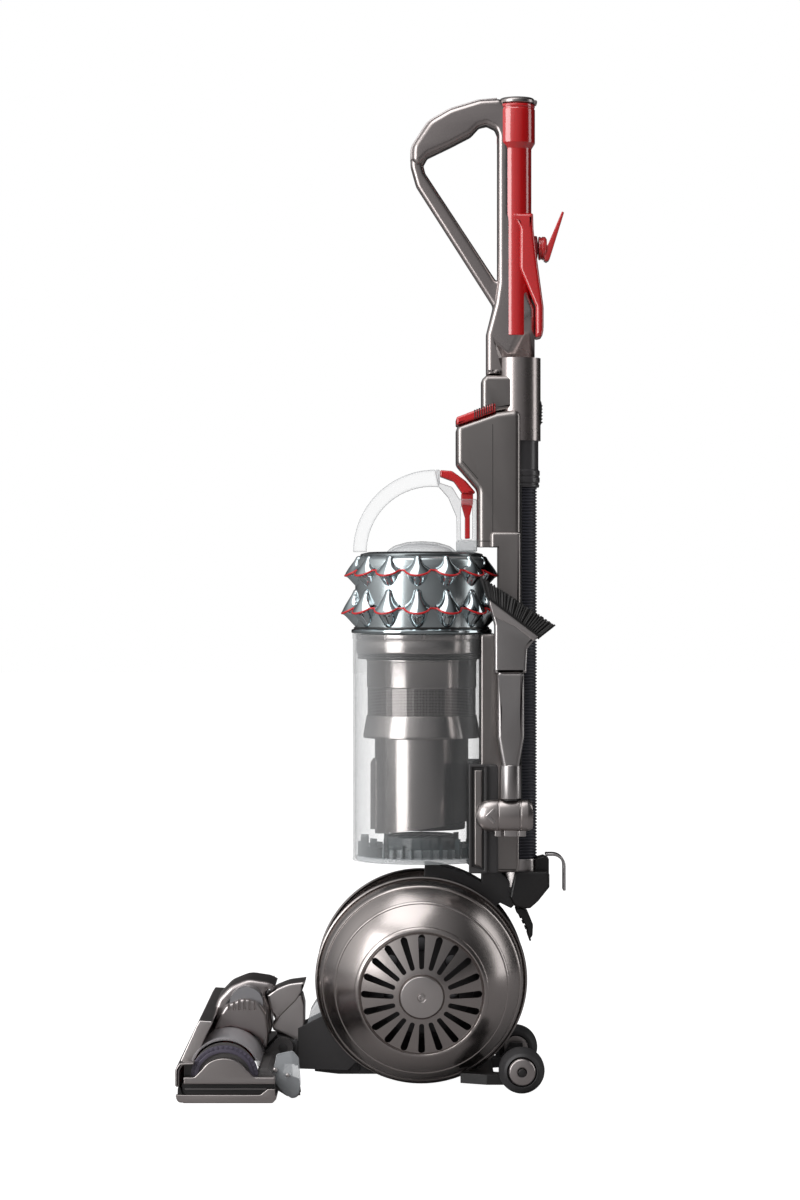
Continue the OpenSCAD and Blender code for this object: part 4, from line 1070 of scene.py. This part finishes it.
low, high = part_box("cheek_panels")
front, back, bottom, top = low.y / mm, high.y / mm, low.z / mm, high.z / mm
for hand, side_name in ((1, "right"), (-1, "left")):
    border = plate("cheek_border_" + side_name, [rounded([(front, bottom, 1), (front, top, 2),
        (back, top, 2), (back, bottom, 1)]), rounded([(front + 3.4, bottom + 7, 1),
        (front + 3.4, top - 3, 1), (back - 3.4, top - 3, 1), (back - 3.4, bottom + 3, 1)])], 3.4,
        x=hand * 63.6, edge=1.1)
    fitted(border, graphite, "upright", "nickel_light", *(["cheek_panels"] if hand == 1 else []))
    strip = plate("cheek_strip_" + side_name, [rounded([(front + 6, bottom + 9, 1), (front + 6, top - 6, 1),
        (back - 5.4, top - 6, 1), (back - 5.4, bottom + 5, 1)])], 3.6, x=hand * 63.2, edge=1.6)
    fitted(strip, spine_shade, "upright", "nickel_light")

# ---- Hose cup, lower hook and lead grommet ----
# A short turned cup takes the hose's lower end. The thin bent hook behind it is for the wound lead,
# and a rubber grommet beside it guards the lead's way out.

cup = turned("hose_cup_turned", rounded([(14, 211, 1), (20.6, 211, 1.2), (21.2, 213, 1), (21.2, 241.6, 1.2),
    (20.6, 243.6, 0.8), (19.9, 243.6, 0.3), (19.9, 231.2, 0.4), (14, 229, 0.5)], turn=18),
    Matrix.Translation((0, hose_y * mm, 0)), steps=80)
fitted(cup, nickel_light, "upright", "nickel", "hose_cup")
hook_mount = plate("lower_hook_mount", [rounded([(174, 196, 3), (174, 244, 1), (184, 246.6, 1),
    (189.6, 244, 2), (189.6, 214, 3), (178, 199, 3)], turn=20)], 30, edge=2)
fitted(hook_mount, black, "upright", "graphite")
hook_steel = moulded("hook_steel", (0.62, 0.60, 0.60), rough=0.25, metal=1.0, bump=0.05)
hook_plate = softened("lower_hook", 0.7)
fitted(hook_plate, hook_steel, "upright", "nickel_light", "lower_hook")
fitted(softened("cord_gland", 0.6), black, "upright", "black_rubber", "cord_gland")

# ---- Hose ----
# A stretchable hose of ribbed blue-grey vinyl over a wire coil, held straight down the back between
# the cup and the cuff.

hose_skin = moulded("hose_vinyl", (0.040, 0.041, 0.055), rough=0.42, coat=0.15, bump=0.15, scale=1500,
    shade=0.2)
hose_radius = (hose_high.y - hose_low.y) / 2 / mm
rib_pitch = 3.35
rib_total = int((hose_high.z - hose_low.z) / mm / rib_pitch)
outside = []
for i in range(rib_total):
    z = hose_low.z / mm + i * rib_pitch
    outside += [(hose_radius - 1.7, z), (hose_radius - 0.35, z + 0.7), (hose_radius, z + 1.5),
        (hose_radius - 0.35, z + 2.3), (hose_radius - 1.7, z + 2.9)]
profile = outside + [(hose_radius - 3, outside[-1][1]), (hose_radius - 3, outside[0][1])]
hose = turned("hose_ribbed", profile, Matrix.Translation((0, hose_y * mm, 0)), steps=44, sharp=60)
fitted(hose, hose_skin, "upright", "hose_grey", "hose")

# ---- Cuff ----
# The rigid cuff on the hose's upper end, dark grey plastic, with stepped rings at both ends. Its
# spigot runs up inside the wand, and a ridged catch at its back lets the wand go.

cuff_dark = moulded("cuff_plastic", (0.060, 0.057, 0.060), rough=0.3, coat=0.2, bump=0.15, scale=1800,
    shade=0.15)
cuff = turned("hose_cuff_turned", rounded([(20.3, 649, 0.4), (22.2, 649, 0.8), (22.6, 652, 0.5),
    (21.8, 652.8, 0.4), (21.8, 654, 0.4), (23.1, 654.8, 0.5), (23.1, 659.6, 0.5), (22.2, 660.4, 0.4),
    (22.2, 661.6, 0.4), (23.1, 662.4, 0.5), (23.1, 667, 0.6), (21.6, 668.4, 0.6), (21.6, 699.4, 0.4),
    (22.5, 700.6, 0.4), (22.5, 711, 0.4), (21.9, 711.6, 0.3), (21.9, 712.6, 0.3), (22.5, 713.2, 0.4),
    (22.5, 753.6, 1), (20.4, 755.4, 0.6), (20.4, 760, 0.4), (19.8, 760.6, 0.3), (19.8, 761.8, 0.3),
    (20.4, 762.4, 0.4), (20.0, 767.6, 1.2), (14.6, 768.2, 0.6), (14.6, 768.4, 0), (12.6, 768.4, 0.2),
    (12.6, 764, 0.4), (17, 758, 1), (17, 654, 1), (20.3, 652, 0.3)], turn=25),
    Matrix.Translation((0, hose_y * mm, 0)), steps=80)
bite(cuff, plate("catch_slot", [[(172, 716), (172, 745.4), (190, 745.4), (190, 716)]], 17.4, edge=0.2,
    rings=0))
fitted(cuff, cuff_dark, "upright", "graphite", "hose_cuff")
wand_y = 153.5
spigot = turned("hose_spigot", rounded([(12.5, 766, 0.3), (14.5, 766, 0.3), (14.5, 999, 0.8),
    (12.5, 999, 0.4)], turn=30), Matrix.Translation((0, wand_y * mm, 0)), steps=48)
fitted(spigot, cuff_dark, "upright", "graphite")
slot_dark = plate("cuff_side_slot", [rounded([(158.4, 720, 2), (158.4, 752, 3), (166.8, 752, 3),
    (166.8, 724, 5), (163.6, 720, 2)])], 40.6, edge=0.6)
fitted(slot_dark, black, "upright", "graphite")
ridges = [plate("ridge", [rounded([(175.5, 717.4, 1), (175.5, 743.6, 1), (181.4, 743.6, 1.4),
    (182.2, 738, 3), (181.4, 717.4, 1.2)], turn=20)], 15.6, edge=0.9)]
for i in range(6):
    z = 719.4 + 3.6 * i
    ridges.append(plate("ridge", [rounded([(180.6, z, 0.4), (183.0, z + 0.4, 0.6), (183.0, z + 1.5, 0.6),
        (180.6, z + 2.1, 0.4)], turn=30)], 13, edge=0.5, rings=1))
fitted(joined(ridges, "wand_catch_ridged"), black, "catch", "graphite", "wand_catch")

# ---- Handle ----
# A hollow moulding in satin nickel: a rounded post that cradles the wand, a looped grip at its top and
# a slim strut that closes the loop, flaring below into the sleeve.

handle_shade = moulded("handle_nickel", (0.44, 0.395, 0.385), rough=0.27, metal=1.0, coat=0.2, bump=0.12,
    scale=3000, shade=0.12)
hole = rounded([(132.8, 874, 4), (54.8, 992.5, 6), (52.6, 1001, 5), (57, 1009, 4), (82, 1021, 16),
    (104.4, 1032.6, 12), (113.4, 1042.4, 6), (122.3, 1044.4, 5), (131, 1040, 4), (134.8, 1032, 4),
    (134.8, 880, 6)], turn=10)
bridge = plate("handle_loop", [rounded([(121, 772, 2), (121, 816, 12), (128.6, 846.6, 8), (122, 857, 8),
    (44.6, 978, 16), (38.4, 1000, 20), (38.6, 1020, 20), (58, 1049, 22), (82, 1062.6, 30),
    (114.6, 1072.4, 20), (137, 1073.4, 8), (147.4, 1062, 4), (147.4, 948, 3), (156.8, 931, 8),
    (156.2, 887, 8), (174.2, 844, 6), (174.2, 772, 3)], turn=9), hole], 15, edge=5.6, rings=7)
fat = plate("handle_post", [rounded([(121.2, 771.2, 2), (121.2, 816, 12), (130.2, 850, 10), (133.4, 872, 6),
    (133.4, 1034, 5), (130.4, 1041, 5), (121, 1045.4, 5), (112.4, 1042.6, 5), (103.4, 1034, 8),
    (82, 1022.6, 16), (58, 1012, 10), (47, 1000, 6), (40.2, 1006, 6), (40.6, 1022, 18), (59, 1049, 22),
    (82, 1062.4, 30), (114.6, 1072.4, 20), (137, 1073.4, 8), (147.4, 1062, 4), (147.4, 948, 3),
    (156.8, 931, 8), (156.2, 887, 8), (174.2, 844, 6), (174.2, 771.2, 3)], turn=9)], 29.6, edge=6.0,
    rings=7)
for part in (bridge, fat):
    bite(part, upright_rod(17.5, wand_y, 790, 1100), sharp=40)
    bite(part, upright_rod(21.5, wand_y + 0.9, 1018.6, 1100), sharp=40)
    bite(part, upright_rod(24, hose_y, 700, 790.4), sharp=40)
fitted(bridge, handle_shade, "upright", "nickel_light", "handle")
fitted(fat, handle_shade, "upright", "nickel_light")
lip = plate("handle_hole_lip", [rounded([(135.4, 868, 6), (52.4, 991.6, 8), (50.4, 1001.6, 6),
    (56, 1011, 5), (81.4, 1023, 16), (103.4, 1034.4, 12), (112.6, 1044.2, 6), (122.6, 1046.2, 6),
    (132, 1041.6, 5), (136.6, 1033, 5), (136.6, 880, 6)], turn=10), hole], 10, edge=0.8)
fitted(lip, graphite, "upright", "nickel_light")

# ---- Grip pad ----
# A softer strip laid along the back of the grip, from the loop's front over its top to the post.


def strip_along(path, under, over):
    """A thin outline that follows an open path, reaching a little under it and over it."""
    upper, lower = [], []
    for i, here in enumerate(path):
        ahead = path[min(i + 1, len(path) - 1)] - path[max(i - 1, 0)]
        side = Vector((-ahead.y, ahead.x)).normalized()
        upper.append(here + side * over)
        lower.append(here - side * under)
    return [tuple(p) for p in upper + lower[::-1]]


pad_path = rounded([(39.4, 1007, 0), (39.2, 1020, 20), (58, 1049, 22), (82, 1062.6, 30), (112, 1071.8, 20),
    (133, 1073.8, 0)], closed=False, turn=6)
pad_skin = moulded("pad_soft", (0.50, 0.46, 0.455), rough=0.42, metal=0.55, bump=0.3, scale=1700,
    shade=0.12)
pad = plate("grip_pad_soft", [strip_along(pad_path, 2.8, 1.1)], 19, edge=1.6, rings=4)
fitted(pad, pad_skin, "upright", "nickel", "grip_pad")

# ---- Sleeve, bezel and switches ----
# The sleeve clamps the handle into the spine. In front of it the spine's sloping nose carries a red
# bezel, with a grille behind and two push switches.

sleeve = plate("handle_sleeve_clamp", [rounded([(115.9, 727, 2), (115.9, 766, 5), (121, 770.8, 3),
    (158, 770.8, 2), (158, 735, 2), (131.2, 730.6, 3)], turn=12)], 43.6, edge=5.5, rings=6)
bite(sleeve, upright_rod(23.5, hose_y, 700, 800))
fitted(sleeve, spine_shade, "upright", "nickel", "handle_sleeve")
bezel = plate("switch_bezel_red", [rounded([(88.4, 716, 1.5), (88.2, 724.6, 2.5), (129, 740, 1.5),
    (131, 739, 1), (131, 730.6, 1), (100, 719.4, 6)], turn=12)], 59.6, edge=2.6, rings=4)
fitted(bezel, gloss_red, "upright", "red", "switch_bezel")
grille = []
for i in range(9):
    y = 107.6 + 2.5 * i
    z = 724.6 + (y - 88.2) * 0.3775
    grille.append(plate("grille", [rounded([(y, z - 9, 0.3), (y, z + 0.7, 0.4), (y + 1.2, z + 1.2, 0.4),
        (y + 1.2, z - 8.6, 0.3)], turn=30)], 60.6, edge=0.35, rings=1))
fitted(joined(grille, "switch_grille"), black, "upright", "graphite")
fitted(softened("power_button", 1.2), gloss_red, "power_switch", "red", "power_button")
fitted(softened("brush_button", 1.2), graphite, "brush_switch", "graphite", "brush_button")

# ---- Wand ----
# A glossy red tube that draws up out of the body by its stepped collar, and a grey hinged cap over
# its mouth.

wand_red = moulded("wand_red", (0.56, 0.007, 0.009), rough=0.16, coat=1.0, coat_rough=0.04, bump=0.015,
    shade=0.05, specular=0.9)
wand_tube = turned("wand_tube", rounded([(15, 815, 0.4), (17, 815, 0.8), (17, 1019.4, 3),
    (20.9, 1025.6, 1.5), (20.9, 1062, 1), (20.2, 1063, 0.4), (20.2, 1064.2, 0.4), (20.9, 1065, 0.5),
    (20.4, 1067.8, 0.8), (18, 1067.8, 0.4), (18, 1028, 2), (15, 1018, 2)], turn=12),
    Matrix.Translation((0, (wand_y + 0.4) * mm, 0)), steps=96)
fitted(wand_tube, wand_red, "wand", "red", "wand")
cap = turned("wand_cap_disc", rounded([(0.01, 1068.4, 0), (18.4, 1068.4, 0.6), (20.2, 1069.4, 0.8),
    (20.2, 1072.4, 1.4), (17.6, 1075, 2), (12, 1075.9, 6), (0.01, 1075.9, 0)], closed=False, turn=15),
    Matrix.Translation((0, (wand_y + 1.6) * mm, 0)), steps=80, closed=False)
fitted(cap, nickel, "cap", "nickel", "wand_cap")
hinge = turned("wand_cap_hinge", rounded([(0.01, -8, 0), (2.4, -8, 0.5), (2.4, 8, 0.5), (0.01, 8, 0)],
    closed=False, turn=30), Matrix.Translation((0, 0.1746, 1.0702)) @ Matrix.Rotation(math.pi / 2, 4, "Y"),
    steps=24, closed=False)
fitted(hinge, nickel, "cap", "nickel")

# ---- Wand bracket and upper hook ----
# A red guide clipped to the handle holds the wand from behind and carries the swivelling hook that
# the lead is wound on.

bracket = plate("wand_bracket_red", [rounded([(148, 947.6, 2), (157.6, 931, 10), (157.4, 887, 12),
    (174.8, 846, 8), (174.8, 811.6, 2), (182, 813.2, 3), (183.4, 820, 4), (183.4, 846, 12),
    (176.6, 896, 20), (172.6, 930, 10), (172.2, 947.6, 2)], turn=9)], 40.4, edge=4.2, rings=6)
bite(bracket, upright_rod(17.5, wand_y + 0.4, 790, 960), sharp=40)
fitted(bracket, wand_red, "upright", "red", "wand_bracket")
rear_rib = plate("wand_bracket_rear", [rounded([(172.6, 944, 2), (172.8, 930, 10), (177, 897, 20),
    (183.9, 846, 12), (183.9, 822, 3), (180.4, 822, 2), (180.2, 846, 12), (172, 897, 20), (169.4, 930, 8),
    (169.4, 944, 2)], turn=9)], 22, edge=1.8, rings=4)
fitted(rear_rib, red_dark, "upright", "red")
hook_height = 0.911
hook_post = turned("hook_pivot", rounded([(0.01, 169, 0), (13.6, 169, 0.8), (13.6, 177, 1.2),
    (5, 178.2, 0.4), (0.01, 178.2, 0)], closed=False, turn=20),
    Matrix.Translation((0, 0, hook_height)) @ Matrix.Rotation(-math.pi / 2, 4, "X"), steps=56, closed=False)
fitted(hook_post, red_dark, "upright", "red")
hook_disc = turned("upper_hook_disc", rounded([(0.01, 178.5, 0), (12.4, 178.5, 0.8), (12.9, 180.4, 0.6),
    (12.0, 181.2, 0.3), (12.0, 182, 0.3), (12.9, 182.8, 0.6), (12.6, 186, 1.2), (10, 187.6, 1),
    (0.01, 187.6, 0)], closed=False, turn=20),
    Matrix.Translation((0, 0, hook_height)) @ Matrix.Rotation(-math.pi / 2, 4, "X"), steps=56, closed=False)
fitted(hook_disc, wand_red, "hook", "red", "upper_hook")
blade = plate("upper_hook_blade", [rounded([(184.6, 897.4, 1.2), (187.4, 895.8, 1.6), (190.4, 898, 3),
    (206.4, 949.6, 1.2), (204, 950.8, 1), (188.4, 914, 8), (185.4, 912, 2)], turn=12)], 19.6, edge=1.0)
fitted(blade, wand_red, "hook", "red")

# ---- Tool holder ----
# A bead-shaped holder on the body's right side, turned in satin nickel with two shut lines and a
# raised arrow. A peg on its top carries the tool.

holder_z = (277.8 + 312.2) / 2
profile = [(0.01, 107.6, 0)] + [(17.1 * math.sin(math.radians(a)), 124.8 - 17.1 * math.cos(math.radians(a)),
    0) for a in range(12, 91, 13)]
profile += [(17.1, 131.6, 0.3), (16.4, 132.0, 0.2), (16.4, 132.9, 0.2), (17.1, 133.3, 0.3),
    (17.1, 154.6, 0.3), (16.2, 155.2, 0.2), (16.2, 156.8, 0.2), (17.1, 157.4, 0.3), (17.1, 164, 2),
    (14, 169.4, 4), (0.01, 170, 0)]
holder = turned("tool_holder_bead", rounded(profile, closed=False, turn=25),
    Matrix.Translation((0.0765, 0, holder_z * mm)) @ Matrix.Rotation(-math.pi / 2, 4, "X"), steps=72,
    closed=False)
bpy.ops.object.select_all(action="DESELECT")
holder.select_set(True)
holder.scale = (0.66, 1, 1)
holder.location.x = 0.0765 * (1 - 0.66)
settle(holder)
fitted(holder, nickel, "upright", "nickel", "tool_holder")
arrow = plate("tool_holder_arrow", [rounded([(118, 295, 0.6), (126.6, 303.4, 0.6), (129.4, 301.4, 0.6),
    (123.6, 295, 0.6), (129.4, 288.6, 0.6), (126.6, 286.6, 0.6)], turn=30)], 5, x=85.6, edge=0.8, rings=2)
fitted(arrow, nickel_light, "upright", "nickel")
arm = plate("tool_holder_arm", [rounded([(132, 284.6, 3), (132, 305.4, 3), (158, 305.4, 3),
    (158, 284.6, 3)], turn=20)], 22, x=58, edge=1.5)
fitted(arm, graphite, "upright", "graphite")
feet = [plate("foot", [rounded([(y, 272.4, 1), (y, 279, 1), (y + w, 279, 1), (y + w, 272.4, 1)], turn=30)],
    12, x=74, edge=0.8) for y, w in ((128.6, 7), (138.4, 14), (154, 8))]
fitted(joined(feet, "tool_holder_clips"), nickel_light, "upright", "nickel")
peg = turned("tool_peg", rounded([(0.01, 311, 0), (8, 311, 0.2), (8, 338, 1.5), (0.01, 339.6, 0)],
    closed=False, turn=25), Matrix.Translation((0.0765, 0.1455, 0)), steps=40, closed=False)
fitted(peg, graphite, "upright", "graphite")

# ---- Spare tool ----
# A combination tool: a round socket, a flattened waisted body and a wider slide-on head that is cut
# on a slant, in satin nickel.

tool_x, tool_y = 76.5, 145.5
tool_shade = moulded("tool_nickel", (0.43, 0.41, 0.405), **satin)
socket = turned("tool_socket", rounded([(8.5, 313, 0.4), (11.2, 313, 0.8), (11.2, 348.6, 0.6),
    (9.6, 350, 0.6), (8.5, 344, 0.4)], turn=20), Matrix.Translation((tool_x * mm, tool_y * mm, 0)),
    steps=64)
fitted(socket, tool_shade, "tool", "nickel_light", "tool_body")
waist = plate("tool_waist", [rounded([(137.2, 345, 4), (131.2, 379, 20), (131.2, 449, 1), (160, 449, 1),
    (160, 379, 20), (153.8, 345, 4)], turn=8)], 19.6, x=tool_x, edge=4.6, rings=6)
fitted(waist, tool_shade, "tool", "nickel_light")
head = plate("tool_head", [rounded([(128, 447.6, 1), (128, 499, 6), (121.6, 525.8, 1.2),
    (173.6, 486.6, 1.2), (163.4, 474, 4), (162.2, 447.6, 1)], turn=10)], 21.2, x=tool_x, edge=3.6, rings=5)
fitted(head, tool_shade, "tool", "nickel_light")
face = plate("tool_head_face", [rounded([(123.4, 520, 1), (122.2, 526.4, 0.8), (174.6, 487, 0.8),
    (170.2, 481.6, 1), (150, 497.6, 8), (126.6, 508.6, 5)], turn=10)], 22.6, x=tool_x, edge=1.2)
fitted(face, nickel_light, "tool", "nickel_light")

# ---- Tool brush ----
# Stiff black bristles in a row of close tufts stand on a thin carrier and spread towards the back.

bristle_black = moulded("bristle_black", (0.028, 0.027, 0.027), rough=0.55, bump=0.2)
carrier = plate("tool_brush_carrier", [rounded([(120.8, 526.6, 0.6), (119.6, 530.4, 0.8),
    (177.4, 487.4, 0.8), (175.6, 483.6, 0.6)], turn=30)], 15, x=tool_x, edge=0.6)
fitted(carrier, black, "tool", "bristle", "tool_brush")
tufts = bmesh.new()
random.seed(11)
for row in range(5):
    for i in range(30):
        along = (i + 0.5 * (row % 2) + random.uniform(-0.2, 0.2)) / 30
        root = Vector(((tool_x - 5.2 + 2.6 * row) * mm, (120.6 + 56 * along) * mm,
            (528.6 - 43.4 * along) * mm))
        tip = Vector(((tool_x - 5.8 + 2.9 * row) * mm, (114.0 + 79.4 * along) * mm,
            (550.6 - 52.2 * along) * mm))
        tip += Vector((random.uniform(-1, 1), random.uniform(-1, 1), random.uniform(-1.6, 0.6))) * mm
        lean = tip - root
        stub = bmesh.ops.create_cone(tufts, cap_ends=True, segments=6, radius1=1.15 * mm, radius2=0.95 * mm,
            depth=lean.length)
        place = Matrix.Translation((root + tip) / 2) @ lean.to_track_quat("Z", "Y").to_matrix().to_4x4()
        bmesh.ops.transform(tufts, matrix=place, verts=stub["verts"])
tufts = grown("tool_bristles", tufts)
settle(tufts, sharp=50)
fitted(tufts, bristle_black, "tool", "bristle")
